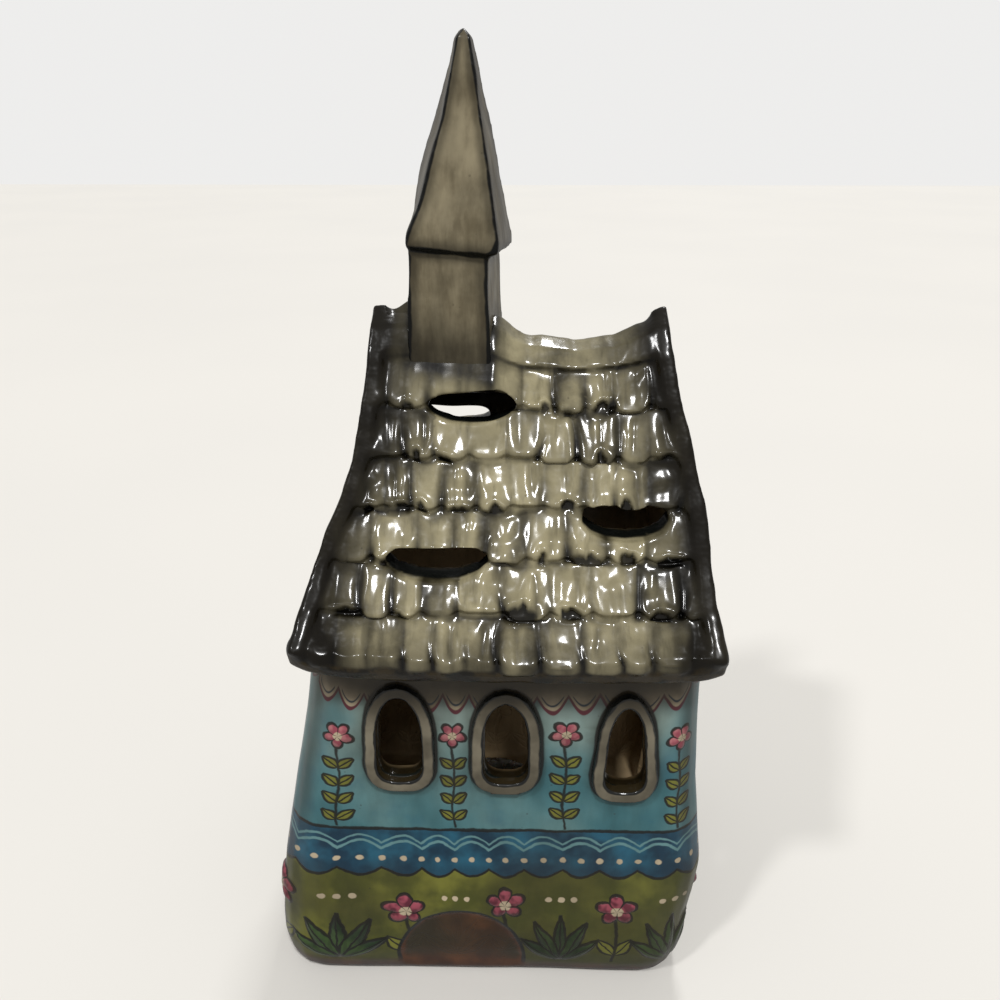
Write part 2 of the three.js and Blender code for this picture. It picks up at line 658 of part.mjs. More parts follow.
FRONT_WINDOWS.forEach((window, i) => {
  place(`front_window_surround_${i + 1}`, surroundBand(window, pushAlongY, -HOUSE_REACH, 0), surroundGlaze());
});
place("left_window_surround", surroundBand(GABLE_WINDOW, pushAlongX, -HOUSE_REACH, 0), surroundGlaze());
place("right_window_surround", surroundBand(GABLE_WINDOW, pushAlongX, 0, HOUSE_REACH), surroundGlaze());

for (const slope of slopes) {
  place(`roof_${slope.name}`, roofSlab(slope), roofGlaze());
  for (let row = FIRST_COURSE; row < EAVE; row++) {
    place(`${slope.name}_course_${row - FIRST_COURSE + 1}`, shingleCourse(slope, row), roofGlaze());
  }
  place(`${slope.name}_eave_roll`, eaveRoll(slope), roofGlaze());
}
place("ridge_strip", ridgeStrip(), roofGlaze());
const bothCopings = copings();
place("left_coping", bothCopings.intersect(halfSpace(0, -1)), roofGlaze());
place("right_coping", bothCopings.intersect(halfSpace(0, 1)), roofGlaze());
place("tower", tower, steepleGlaze());
place("spire", spire, steepleGlaze());

const teaLight = new THREE.Group();
teaLight.position.set(0, DOORWAY.y, teaLightZ);
house.add(teaLight);
place("tea_light_cup", cup, finish(0xc9ccd0, 0.3, 1), teaLight);
place("tea_light_wax", wax, finish(0xefe9da, 0.5), teaLight);
place("wick_sustainer", sustainer, finish(0xb8bcc0, 0.35, 1), teaLight);
place("wick", wick, finish(0xe6dfcd, 0.9), teaLight);

export default house;
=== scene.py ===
"""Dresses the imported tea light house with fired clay, glaze, brush painting and a tea light.

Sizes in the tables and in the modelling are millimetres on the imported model; Blender's own units are metres.
"""

import json
import math

import bpy
import numpy as np
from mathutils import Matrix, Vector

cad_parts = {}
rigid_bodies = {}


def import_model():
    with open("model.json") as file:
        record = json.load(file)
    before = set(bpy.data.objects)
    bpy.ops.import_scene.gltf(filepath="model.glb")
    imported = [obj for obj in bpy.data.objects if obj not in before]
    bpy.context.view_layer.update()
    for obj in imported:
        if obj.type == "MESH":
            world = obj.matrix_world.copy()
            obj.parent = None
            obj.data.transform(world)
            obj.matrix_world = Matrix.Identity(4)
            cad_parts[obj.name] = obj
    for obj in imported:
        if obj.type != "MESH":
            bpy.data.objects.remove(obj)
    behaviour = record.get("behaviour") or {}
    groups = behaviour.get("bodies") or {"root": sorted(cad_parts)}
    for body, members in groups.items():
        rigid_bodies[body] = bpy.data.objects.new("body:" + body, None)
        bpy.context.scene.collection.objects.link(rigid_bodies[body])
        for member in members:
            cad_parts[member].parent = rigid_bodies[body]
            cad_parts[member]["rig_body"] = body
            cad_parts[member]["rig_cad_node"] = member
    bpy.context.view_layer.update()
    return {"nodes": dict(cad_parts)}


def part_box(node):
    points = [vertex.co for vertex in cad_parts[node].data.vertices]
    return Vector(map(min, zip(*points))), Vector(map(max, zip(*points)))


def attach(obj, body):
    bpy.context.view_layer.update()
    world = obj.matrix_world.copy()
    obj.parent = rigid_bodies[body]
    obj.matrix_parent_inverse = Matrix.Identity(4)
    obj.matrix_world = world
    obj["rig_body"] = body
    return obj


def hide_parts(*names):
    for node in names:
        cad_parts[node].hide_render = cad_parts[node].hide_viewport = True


bl_info = {
    "name": "Ceramic Tea Light House",
    "version": (1, 0, 0),
    "blender": (4, 5, 0),
    "location": "View3D > Sidebar > Tea Light House",
    "description": "Fired clay, glaze and brush painting for a church-shaped tea light house",
    "category": "Add Mesh",
}

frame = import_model()
NODES = frame["nodes"]
MM = 0.001

# Outline of the walls as (height, distance from the middle), and how far the foot is tucked in
LEFT_LINE = [(0, 56.6), (10, 57.2), (30, 55.4), (52, 51.6), (88, 44.7), (104, 42), (140, 29.5), (180, 25)]
RIGHT_LINE = [(0, 53.2), (17, 54.6), (36, 57.2), (58, 54.4), (88, 53.2), (104, 52.6), (140, 46), (180, 40)]
DEPTH_LINE = [(0, 43.6), (12, 45.2), (52, 42.2), (104, 39.2), (180, 39.2)]
FOOT_LINE = [(0, 3.2), (0.72, 1.76), (2.1, 0.64), (6, 0)]
CORNER_RADIUS = 11

# Section of the roof as (distance from the middle, height), and each joint's share in the ridge's sway and
# in the upturn of the ends
ROOF_LINE = [
    (0, 169.6), (5, 168), (9, 164.4), (15.4, 155), (21.5, 144.5),
    (27.4, 134.3), (33.7, 124.2), (41.2, 114.1), (49.3, 106.2),
]
SWAY_SHARE = [1, 0.92, 0.5, 0.15, 0.04, 0, 0, 0, 0]
UPTURN_SHARE = [0, 0, 0, 0, 0, 0, 0.1, 0.4, 1]
# Height of the ridge along x, and distance of both rakes from the middle by height
RIDGE_LINE = [
    (-45, 173.4), (-20, 173.8), (-8, 172.6), (3.4, 170.3), (12, 168),
    (21, 167.2), (32, 169.2), (39, 172.6), (44, 174.2), (60, 174.4),
]
LEFT_RAKE = [
    (96, 45.4), (108, 44), (117, 41.4), (126, 38.8), (132, 36.2),
    (138, 33.2), (148, 30.8), (163, 28.7), (180, 27.9),
]
RIGHT_RAKE = [
    (96, 55.4), (108, 54.4), (114, 52.8), (123, 51.9), (133, 51),
    (141, 49.4), (151, 46.9), (163, 44.2), (180, 42.4),
]
# How far the ends of the eaves turn up, and from where
LEFT_UPTURN, RIGHT_UPTURN = 3, 0.6
UPTURN_START, UPTURN_LENGTH = 18, 27
# Joints of the roof's section where the courses begin and end
RIDGE_STATION = 2
EAVE_STATION = len(ROOF_LINE) - 1
# Shingles in a course, and the steps between the chances that shape each of them
SHINGLE_WIDTH = 8.6
SHINGLE_JITTER = 0.24
ROOF_REACH = 61.4
CHANCE_STEPS = (1.7, 2.9, 3.1, 4.7, 5.3, 6.1, 8.3, 9.7, 11.9)

TOWER_X, TOWER_Y, TOWER_HALF = -7.9, -0.3, 9.8
TOWER_TURN = math.radians(-7.5)
# How far the tower is let into the ridge, and the height under which its points go down with it
TOWER_SINK, SUNK_BELOW = 4.2, 180
# Rim of the spire: its height, how much it falls to the right, and its depth
RIM_Z, RIM_SLOPE, RIM_DEPTH = 192.8, 0.07, 3
# By height: half the steeple's width, how far the left corners of the spire are drawn to the right, so that
# its front is narrower than its back, and how far its axis leans
STEEPLE_HALF = [(160, 9.9), (189, 9.1), (190.6, 10.6), (193, 10.9), (233.4, 2.25), (235, 0.8)]
SPIRE_PULL_BACK = [
    (189.3, 0), (190.5, -2), (193, -2.6), (199, -3), (206, -3), (212, -2.4), (218, -1.2), (229, 0),
]
SPIRE_PULL_FRONT = [
    (189.3, 0), (190.5, 0.5), (193, 0.9), (199, 2), (206, 2.3), (218, 2.6), (223, 2.3), (235, 1.6),
]
SPIRE_LEAN = [(189.8, 0), (192.8, 1.1), (235, 2.3)]

# Windows as (place along the wall, sill, width, height, pinch of the crown), and the curve of their outlines
WINDOW_FOOT, WINDOW_SHOULDER, WINDOW_HAUNCH, WINDOW_CROWN = 0.42, 0.52, 0.6, 0.56
WAIST_PINCH, CROWN_PINCH = 0.22, 0.36
SURROUND_BAND, SURROUND_SINK = 3.1, 2.4
FRONT_WINDOWS = [(-21.2, 67, 11.2, 24, 0.1), (4.9, 66.6, 11, 23, 0.05), (34.3, 64.6, 10, 24.4, 0.55)]
GABLE_WINDOW = (0, 67, 11, 24, 0.1)
# Each surround's window and the way into its wall
SURROUNDS = {
    "front_window_surround_1": (FRONT_WINDOWS[0], (0, 1)),
    "front_window_surround_2": (FRONT_WINDOWS[1], (0, 1)),
    "front_window_surround_3": (FRONT_WINDOWS[2], (0, 1)),
    "left_window_surround": (GABLE_WINDOW, (1, 0)),
    "right_window_surround": (GABLE_WINDOW, (-1, 0)),
}

# The painting repeats round the walls in cells this wide, counted from the bay left of the middle window
CELL = 27
CELL_COUNTS = [-4, -2.5, -0.5, 0.5, 1.5, 3.5, 8]
PAINTING_UNIT = 100
BAY_BLOSSOM = {"height": 79.8, "radius": 3.6, "turn": 0.3, "sway": 1.0}
LOW_BLOSSOM = {"height": 27.0, "radius": 5.0, "turn": 0.9, "sway": 1.4}
GABLE_BLOSSOM = {"height": 123.0, "radius": 6.5, "turn": 0.31}
# Turn of the slow rise and fall of the blossoms, from one cell to the next
SWAY_TURN = 2.4
PETALS, PETAL_DEPTH, LEAF_SWELL = 5, 0.42, 0.8
# Blades of a leaf tuft as (turn, length, half width), and leaves in the gables with their height first
TUFT_BLADES = [(1.57, 17.0, 1.6), (1.15, 16.0, 1.8), (0.7, 13.0, 1.8)]
TUFT_FOOT = 7.5
GABLE_LEAVES = [(101.0, 0.45, 15.0, 3.0), (104.0, 0.95, 13.0, 2.6)]
# Length of the scalloped border along half an eave
BORDER_HALF = 54
# Places beyond which a point lies on the front, left or right wall, and what stands for far away
FRONT_FACE, LEFT_FACE, RIGHT_FACE = -36, -40, 46
FAR = 50.0
# Brown arch at the foot of the front wall: its middle, radius, height of its sides and how far back it goes
ARCH_MIDDLE, ARCH_RADIUS, ARCH_SPRING, ARCH_BACK = -6.9, 17, 8, -30

WICK_ROWS = 14
WALL_TRIANGLES, ROOF_TRIANGLES = 190000, 195000

WALL_NODES = ["floor_slab", "front_wall", "back_wall", "left_gable", "right_gable"]
STEEPLE_NODES = ["tower", "spire"]
ROOF_NODES = [
    "roof_front", "roof_back", "front_eave_roll", "back_eave_roll",
    "ridge_strip", "left_coping", "right_coping",
    *(f"{side}_course_{row}" for side in ("front", "back") for row in range(1, 7)),
]

# Colours in light values, for what no setting changes
SPECK = (0.03, 0.024, 0.016)
CHAR = (0.02, 0.018, 0.016)
FLOOR_CLOUD = (0.6, 0.59, 0.57)
FLOOR_BOUNCE = (0.3, 0.295, 0.285)
ROOM_COLOUR = (1.0, 0.99, 0.97)
BACKDROP = (0.9, 0.895, 0.885)


# Measuring


def ease(share):
    return share * share * (3 - 2 * share)


def smooth_step(low, high, value):
    return ease(np.clip((value - low) / (high - low), 0, 1))


def hump(away):
    """1 in the middle, falling off evenly to both sides."""
    return np.exp(-(away**2))


def uneven(seed):
    return np.mod(np.sin(seed * 12.9898) * 43758.5453, 1)


def ripple(at, seed, span):
    """Smooth chance waves from -1 to 1 along a line, one swing per span."""
    place = at / span
    knot = np.floor(place)
    first, second = (uneven(end * 1.618 + seed * 7.13) for end in (knot, knot + 1))
    return 2 * (first + (second - first) * ease(place - knot)) - 1


def straight_line(pairs, at):
    """Values on a line of straight runs through (position, value) pairs."""
    return np.interp(at, *zip(*pairs))


def smooth_line(pairs, at):
    """A smooth curve through (position, value) pairs that never swings past them."""
    places, values = np.array(pairs, float).T
    chord = np.diff(values) / np.diff(places)
    slope = np.zeros(len(places))
    rising = chord[:-1] * chord[1:] > 0
    slope[1:-1][rising] = 2 * chord[:-1][rising] * chord[1:][rising] / (chord[:-1] + chord[1:])[rising]
    i = np.clip(np.searchsorted(places, at, side="right") - 1, 0, len(places) - 2)
    span = places[i + 1] - places[i]
    t = np.clip((at - places[i]) / span, 0, 1)
    bend = span * (slope[i] * t * (1 - t) ** 2 - slope[i + 1] * t * t * (1 - t))
    return values[i] + (values[i + 1] - values[i]) * ease(t) + bend


def side_line(left_line, right_line, x, z):
    """How far from the middle a pair of lines stands, on the side where each point lies."""
    return np.where(x < 0, smooth_line(left_line, z), smooth_line(right_line, z))


def around_walls(points):
    """Way round the walls from the middle of the front, depth in them, and where cells are counted."""
    x, y, z = points.T
    left = CORNER_RADIUS - smooth_line(LEFT_LINE, z)
    right = smooth_line(RIGHT_LINE, z) - CORNER_RADIUS
    back = smooth_line(DEPTH_LINE, z) - CORNER_RADIUS
    off_x = x - np.clip(x, left, right)
    off_y = y - np.clip(y, -back, back)
    below = CORNER_RADIUS - straight_line(FOOT_LINE, z) - np.hypot(off_x, off_y)
    gable = CORNER_RADIUS * math.pi + 2 * back
    to_right = x > (left + right) / 2
    side_x = np.where(to_right, right, -left)
    turned = CORNER_RADIUS * np.arctan2(np.abs(off_x), np.abs(off_y))
    past_front = np.where(off_y > 0, gable - turned, gable / 2 + y)
    beside = side_x + np.where(off_y < 0, turned, past_front)
    along = np.where(off_x == 0, x, np.where(to_right, beside, -beside))
    along = np.where((off_x == 0) & (y > 0), 2 * right - x + gable, along)
    windows = [window[0] for window in FRONT_WINDOWS]
    knots = [left - gable, left - gable / 2, *windows, right + gable / 2, 2 * right - left + gable]
    return along, below, knots


def painting_place(points):
    """Place on the painting, as cells round the walls times their width, and height and depth on the wall."""
    along, below, knots = around_walls(points)
    cells = np.full(along.shape, float(CELL_COUNTS[0]))
    for start, end, first, last in zip(knots, knots[1:], CELL_COUNTS, CELL_COUNTS[1:]):
        cells += np.clip((along - start) / (end - start), 0, 1) * (last - first)
    return cells * CELL, points[:, 2], below


def curve(*pulls):
    """Values along a Bezier curve."""
    t = np.linspace(0, 1, 13)
    last = len(pulls) - 1
    return sum(math.comb(last, i) * (1 - t) ** (last - i) * t**i * pull for i, pull in enumerate(pulls))


def window_outline(window, band):
    """Corner points of a window's outline, grown by a band, as (place along the wall, height)."""
    place, sill, width, height, pinch = window
    half = width / 2 + band
    bottom = sill - band
    top = sill + height + band
    bend = min(half, width * WINDOW_FOOT + band)
    shoulder = bottom + (top - bottom) * WINDOW_SHOULDER
    haunch = shoulder + (top - shoulder) * WINDOW_HAUNCH
    waist = half * (1 - WAIST_PINCH * pinch)
    crown = half * (WINDOW_CROWN - CROWN_PINCH * pinch)
    xs = np.concatenate([curve(half - bend, half, half), curve(waist, waist, crown, 0)])
    zs = np.concatenate([curve(bottom, bottom, bottom + bend), curve(shoulder, haunch, top, top)])
    return np.stack([place + np.concatenate([xs, -xs[-2::-1]]), np.concatenate([zs, zs[-2::-1]])], 1)


def outside(across, up, outline):
    """Distance of each place from a closed outline, below zero inside it."""
    nearest = np.full(across.shape, 1e9)
    turns = np.zeros(across.shape)
    for (ax, az), (bx, bz) in zip(outline, np.roll(outline, -1, 0)):
        run = max((bx - ax) ** 2 + (bz - az) ** 2, 1e-9)
        share = np.clip(((across - ax) * (bx - ax) + (up - az) * (bz - az)) / run, 0, 1)
        nearest = np.minimum(nearest, np.hypot(across - ax - share * (bx - ax), up - az - share * (bz - az)))
        crossed = (az > up) != (bz > up)
        turns += crossed & (across < ax + (up - az) * (bx - ax) / (bz - az if bz != az else 1))
    return np.where(turns % 2 == 1, -nearest, nearest)


def from_surrounds(points):
    """Distance outside the nearest window surround's outline, on the wall that each point lies on."""
    x, y, z = points.T
    nearest = np.full(x.shape, FAR)
    walls = {"front": (y < FRONT_FACE, x), "left": (x < LEFT_FACE, y), "right": (x > RIGHT_FACE, y)}
    for name, (window, _) in SURROUNDS.items():
        here, across = walls[name.split("_")[0]]
        away = outside(across[here], z[here], window_outline(window, SURROUND_BAND))
        nearest[here] = np.minimum(nearest[here], away)
    return nearest


def from_arch(points):
    """Distance outside the brown arch at the foot of the front wall; large on the other walls."""
    x, y, z = points.T
    away = np.hypot(x - ARCH_MIDDLE, np.maximum(z - ARCH_SPRING, 0)) - ARCH_RADIUS
    return np.where(y < ARCH_BACK, away, FAR)


def about_tower(x, y, lean=0):
    """Places about the tower's own axis, squared up with its walls."""
    turn_cos, turn_sin = math.cos(TOWER_TURN), math.sin(TOWER_TURN)
    dx, dy = x - TOWER_X - lean, y - TOWER_Y
    return dx * turn_cos + dy * turn_sin, dy * turn_cos - dx * turn_sin


def from_tower(points):
    """Distance outside the foot of the tower, in plan."""
    across, along = about_tower(*points.T[:2])
    return np.hypot(*(np.maximum(np.abs(place) - TOWER_HALF, 0) for place in (across, along)))


def roof_place(points):
    """Station down the roof line, depth under the shingles' faces and slope side of each point."""
    x, y, z = points.T
    sway = smooth_line(RIDGE_LINE, x) - ROOF_LINE[0][1]
    t = np.clip((np.abs(x) - UPTURN_START) / UPTURN_LENGTH, 0, 1.2)
    lift = np.where(x < 0, LEFT_UPTURN, RIGHT_UPTURN) * t * t
    shares = zip(ROOF_LINE, SWAY_SHARE, UPTURN_SHARE)
    joints = [(out, height + sway * swayed + lift * turned) for (out, height), swayed, turned in shares]
    best = np.full(x.shape, 1e9)
    station, depth = np.zeros((2, len(x)))
    for i, ((ax, az), (bx, bz)) in enumerate(zip(joints, joints[1:])):
        run_x, run_z = bx - ax, bz - az
        to_x, to_z = np.abs(y) - ax, z - az
        share = np.clip((to_x * run_x + to_z * run_z) / (run_x**2 + run_z**2), 0, 1)
        gap = np.hypot(to_x - share * run_x, to_z - share * run_z)
        nearer = gap < best
        best = np.where(nearer, gap, best)
        station = np.where(nearer, i + share, station)
        depth = np.where(nearer, np.sign(to_x * run_z - to_z * run_x) * gap, depth)
    return station, depth, np.where(y < 0, -1, 1)


def slope_directions(station, side):
    """Unit vectors straight out of the slope and straight down it."""
    run = np.diff(np.array(ROOF_LINE, float), axis=0)
    run /= np.hypot(*run.T)[:, None]
    down = np.vstack([run[:1], (run[:-1] + run[1:]) / 2, run[-1:]])
    down_y, down_z = (np.interp(station, range(len(down)), part) for part in down.T)
    length = np.hypot(down_y, down_z)
    down_y, down_z = down_y / length, down_z / length
    still = np.zeros(station.shape)
    return np.stack([still, -down_z * side, down_y], 1), np.stack([still, down_y * side, down_z], 1)


def rake_gap(points):
    """How far inside the rakes each point lies."""
    x, _, z = points.T
    return side_line(LEFT_RAKE, RIGHT_RAKE, x, z) - np.abs(x)


def tab_edges(row, side):
    """Places along x where one shingle of a course meets the next."""
    edges = []
    x = -ROOF_REACH + SHINGLE_WIDTH * uneven(row + 3 * side)
    while x < ROOF_REACH:
        chance = uneven(row * 17 + len(edges) * 3 + side)
        edges.append(x)
        x += SHINGLE_WIDTH * (1 + 2 * SHINGLE_JITTER * (chance - 0.5))
    return np.array(edges)


def course_relief(x, down, row, side):
    """Rise, slide, pooled glaze with painted shade, and paleness of one course, by place along it and share of
    its length.
    """
    edges = tab_edges(row, side)
    seeds = np.arange(len(edges)) + 31.7 * row + 7.3 * side
    chance = uneven(np.outer(CHANCE_STEPS, seeds))
    i = np.clip(np.searchsorted(edges, x) - 1, 0, len(edges) - 2)
    width = edges[i + 1] - edges[i]
    across = (x - edges[i]) / width
    near = np.where(across < 0.5, i, i + 1)
    # Chances of the tab that each point lies on, and of the nearer of its two edges
    own, met = chance[:, i], chance[:, near]
    last = row == EAVE_STATION - 1

    # Groove between two tabs, that wanders a little and deepens down the slope
    wander = (met[0] - 0.5) * 3 * (down - 1) + (met[1] - 0.5) * 2 * np.sin(math.pi * down)
    strength = 0.1 + 0.9 * met[3] ** (0.7 if last else 1.3)
    reach = smooth_step(-0.15 + 0.75 * met[4], 0.95, down)
    groove = hump((x - edges[near] - wander) / (0.5 + 0.5 * met[2]))
    groove *= strength * (0.2 + 0.8 * reach)

    # Shorter groove within some tabs
    inner_at = edges[i] + width * (0.32 + 0.36 * own[5]) + (own[6] - 0.5) * 2.4 * (down - 0.5)
    inner_reach = smooth_step(0, 0.3, down) * smooth_step(1, 0.6 + 0.3 * own[7], down)
    inner = (own[8] > 0.4) * inner_reach * hump((x - inner_at) / 0.75) * (0.3 + 0.6 * own[0])

    # Flutes along the slope, dimples, and tabs that lift towards their lower edge
    profile = 1 - hump(np.minimum(across, 1 - across) * width / 1.5)
    flutes = ripple(x + 2 * down, row * 5 + side, 2.9) * 0.34
    flutes += ripple(x - 1.5 * down, row * 3 + side, 1.7) * 0.16
    dimples = ripple(12 * down + 40 * own[5], row * 11 + side, 2.7)
    dimples *= ripple(x + 3 * down, row * 13 + side, 3.3)
    lift = (own[6] - 0.42) * 1.5 * smooth_step(0.2, 1, down) * profile

    # Torn hollow under the raised brow of some tabs' lower edges
    middle = edges[i] + width * (0.28 + 0.44 * own[1]) + (own[8] - 0.5) * 9 * (1.03 - down)
    half = width * (0.13 + 0.3 * own[2] ** 1.5)
    spread = ((x - middle) / half) ** 2 + ((1.03 - down) / (0.09 + 0.17 * own[5])) ** 2
    spread += 0.5 * ripple(x, row + side, 1.1)
    curled = (own[7] > 0.42) & (not last)
    mouth = curled * smooth_step(1.25, 0.45, spread)
    brow = curled * hump((np.sqrt(np.abs(spread)) - 1.35) / 0.3) * smooth_step(1.1, 1, down)

    rise = flutes * (0.35 + 0.65 * np.sin(math.pi * np.clip(down, 0, 1))) + lift + 0.42 * profile * dimples
    rise += 0.45 * brow - 1.3 * groove - 0.7 * inner - 1.7 * mouth
    slide = (own[3] - 0.5) * 1.9 * profile - 0.5 * (1 - profile)
    # Pool share: glaze pooled in the grooves, and painted shade with pooled glaze in the hollows under the
    # brows
    pool = 1.25 * groove + 0.6 * inner + 1.3 * mouth + 0.15 - 0.35 * flutes
    pale = 0.25 + 0.8 * (own[4] - 0.4) + 0.5 * profile * smooth_step(0, 0.4, down) + 0.6 * flutes
    return rise, slide, np.clip(pool, 0, 1), np.clip(pale, 0, 1)


def shingle_relief(points, station, side):
    """Rise and slide in millimetres, and shares of pooled glaze with painted shade and of paleness, of each
    point on the roof.
    """
    x = points[:, 0]
    rise, slide, pool, pale = np.zeros((4, len(x)))

    def past(row):
        return smooth_step(row - 0.02, row + 0.07, station)

    ridge_share = 1 - past(RIDGE_STATION)
    rise += ridge_share * (ripple(x, 3, 4.3) * 0.35 + ripple(x, 9, 1.9) * 0.12)
    pale += ridge_share * (0.55 + 0.3 * ripple(x, 5, 6))
    pool += ridge_share * (0.12 + 0.2 * np.clip(ripple(x, 7, 3.1), 0, 1))
    for row in range(RIDGE_STATION, EAVE_STATION):
        share = past(row) * (1 - (past(row + 1) if row < EAVE_STATION - 1 else 0))
        for slope in (-1, 1):
            here = (side == slope) & (share > 0)
            fields = course_relief(x[here], np.clip(station[here] - row, 0, 1.1), row, slope)
            for total, field in zip((rise, slide, pool, pale), fields):
                total[here] += share[here] * field
        # Painted shade with pooled glaze along the head of each course, under the step of the course above
        seam = hump((station - row - 0.035) / 0.04) * (0.5 + 0.5 * ripple(x, row * 2 + 0.5, 5.2))
        pool += seam * (0.75 + 0.25 * ripple(x, row, 2.3))
    near_lap = np.abs(station - np.round(station))
    slide *= smooth_step(0.3, 0.05, near_lap) * (station > RIDGE_STATION + 0.6)
    return rise, slide, np.clip(pool, 0, 1), np.clip(pale, 0, 1)


def blossom_dome(across, up, shape, cell):
    """Height of a raised blossom, from 0 to 1."""
    up = up - shape["height"] - shape["sway"] * np.sin(SWAY_TURN * cell)
    lobe = np.abs(np.cos((np.arctan2(up, across) + shape["turn"]) * PETALS / 2))
    inside = shape["radius"] * (1 - PETAL_DEPTH + PETAL_DEPTH * lobe) - np.hypot(across, up)
    return smooth_step(-0.2, 1.5, inside) * (0.55 + 0.45 * lobe)


def blade_dome(across, up, turn, length, half_width):
    """Height of a raised leaf blade, from 0 to 1."""
    share = np.clip((across * math.cos(turn) + up * math.sin(turn)) / length, 0, 1)
    beside = np.abs(up * math.cos(turn) - across * math.sin(turn))
    return smooth_step(-0.1, 0.9, half_width * np.sin(share**LEAF_SWELL * math.pi) - beside)


def painting_relief(points):
    """Height of the blossoms and leaves that stand out of the walls, from 0 to 1."""
    along, up, below = painting_place(points)
    cells = along / CELL
    bay = np.floor(cells + 0.5)
    window = np.floor(cells) + 0.5
    at_bay = (cells - bay) * CELL
    high = 0.6 * blossom_dome(at_bay, up, BAY_BLOSSOM, bay)
    low = blossom_dome((cells - window) * CELL, up, LOW_BLOSSOM, window)
    blades = [0.8 * blade_dome(np.abs(at_bay), up - TUFT_FOOT, *blade) for blade in TUFT_BLADES]
    clear = smooth_step(0.5, 2, from_arch(points)) * smooth_step(0.2, 1.2, from_surrounds(points))
    return np.maximum.reduce([high, low, *blades]) * clear * (np.abs(below) < 1.2)


# Handling meshes


def pick(*pieces):
    bpy.ops.object.select_all(action="DESELECT")
    for piece in pieces:
        piece.select_set(True)
    bpy.context.view_layer.objects.active = pieces[0]


def read_vectors(piece, kind):
    flat = np.zeros(len(piece.data.vertices) * 3, np.float32)
    piece.data.vertices.foreach_get(kind, flat)
    return flat.reshape(-1, 3).astype(float)


def points_of(piece):
    """The piece's points in millimetres."""
    return read_vectors(piece, "co") / MM


def edit(piece, operator, **settings):
    """Runs one operator in edit mode."""
    pick(piece)
    bpy.ops.object.mode_set(mode="EDIT")
    operator(**settings)
    bpy.ops.object.mode_set(mode="OBJECT")


def edit_points(piece, chosen, operator, **settings):
    """Runs an edit mode operator on the points chosen by their place; True chooses all of them."""
    edit(piece, bpy.ops.mesh.select_mode, type="VERT")
    edit(piece, bpy.ops.mesh.select_all, action="DESELECT")
    everywhere = np.ones(len(piece.data.vertices), bool)
    piece.data.vertices.foreach_set("select", everywhere & chosen)
    edit(piece, operator, **settings)


def slice_levels(piece, levels):
    """Cuts a level row of points round a piece at each height."""
    for level in levels:
        edit_points(piece, True, bpy.ops.mesh.bisect, plane_co=(0, 0, level), plane_no=(0, 0, 1))


def apply_modifier(piece, kind, **settings):
    pick(piece)
    modifier = piece.modifiers.new(kind.title(), kind)
    for name, value in settings.items():
        setattr(modifier, name, value)
    bpy.ops.object.modifier_apply(modifier=modifier.name)


def copy_nodes(name, nodes):
    """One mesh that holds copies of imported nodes, with their doubled points merged."""
    pick(*[NODES[node] for node in nodes])
    bpy.ops.object.duplicate()
    bpy.ops.object.join()
    piece = bpy.context.view_layer.objects.active
    piece.name = name
    piece.data.name = name
    piece.parent = None
    piece.data.materials.clear()
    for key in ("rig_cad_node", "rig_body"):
        piece.pop(key, None)
    edit_points(piece, True, bpy.ops.mesh.remove_doubles, threshold=2e-6)
    return piece


def turn_cylinder(name, node, corners, share=1.0):
    """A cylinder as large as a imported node, and that node's lowest and highest corner."""
    low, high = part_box(node)
    radius = (high.x - low.x) / 2 * share
    bpy.ops.mesh.primitive_cylinder_add(
        vertices=corners, radius=radius, depth=high.z - low.z, location=(low + high) / 2
    )
    piece = bpy.context.object
    piece.name = name
    bpy.ops.object.transform_apply(location=True, rotation=True, scale=True)
    return piece, low, high


def smooth(piece, rounds, **settings):
    apply_modifier(piece, "SMOOTH", factor=0.5, iterations=rounds, **settings)


def fuse_clay(piece, grain, swell, rounds):
    """Swells the joined slabs until their seams close, fuses them and softens every edge as glaze does."""
    apply_modifier(piece, "DISPLACE", strength=swell, mid_level=0.0)
    apply_modifier(piece, "REMESH", mode="VOXEL", voxel_size=grain, use_smooth_shade=True)
    smooth(piece, rounds)


def roughen(piece, name, size, height):
    """Slow hand-made unevenness all over a piece."""
    lumps = bpy.data.textures.new(name, type="CLOUDS")
    lumps.noise_scale = size
    lumps.noise_depth = 1
    apply_modifier(piece, "DISPLACE", texture=lumps, texture_coords="LOCAL", strength=height, mid_level=0.5)


def smooth_part(piece, shares, rounds):
    """Smooths each point by its share, in fine steps."""
    group = piece.vertex_groups.new(name="soft")
    levels = np.round(np.clip(shares, 0, 1) * 250).astype(int)
    for level in np.unique(levels[levels > 0]):
        group.add(np.flatnonzero(levels == level).tolist(), float(level) / 250, "REPLACE")
    smooth(piece, rounds, vertex_group="soft")
    piece.vertex_groups.remove(piece.vertex_groups["soft"])


def move_points(piece, moves):
    """Shifts the piece's points by millimetre vectors, as a modelling tool drawn over the wet clay would."""
    placed = (points_of(piece) + moves) * MM
    piece.data.vertices.foreach_set("co", placed.astype(np.float32).ravel())
    piece.data.update()


def store(piece, **fields):
    """Keeps numbers with the piece's points, for its finish to read."""
    for name, values in fields.items():
        attribute = piece.data.attributes.new(name, "FLOAT", "POINT")
        attribute.data.foreach_set("value", np.asarray(values, np.float32))


def thin_out(piece, most):
    """Collapses flat areas until the piece has at most so many triangles."""
    triangles = sum(len(face.vertices) - 2 for face in piece.data.polygons)
    if triangles > most:
        apply_modifier(piece, "DECIMATE", ratio=most / triangles)


def finish_piece(piece, material, body, nodes):
    pick(piece)
    bpy.ops.object.shade_smooth()
    piece.data.materials.clear()
    piece.data.materials.append(material)
    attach(piece, body)
    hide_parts(*nodes)


# Node boards


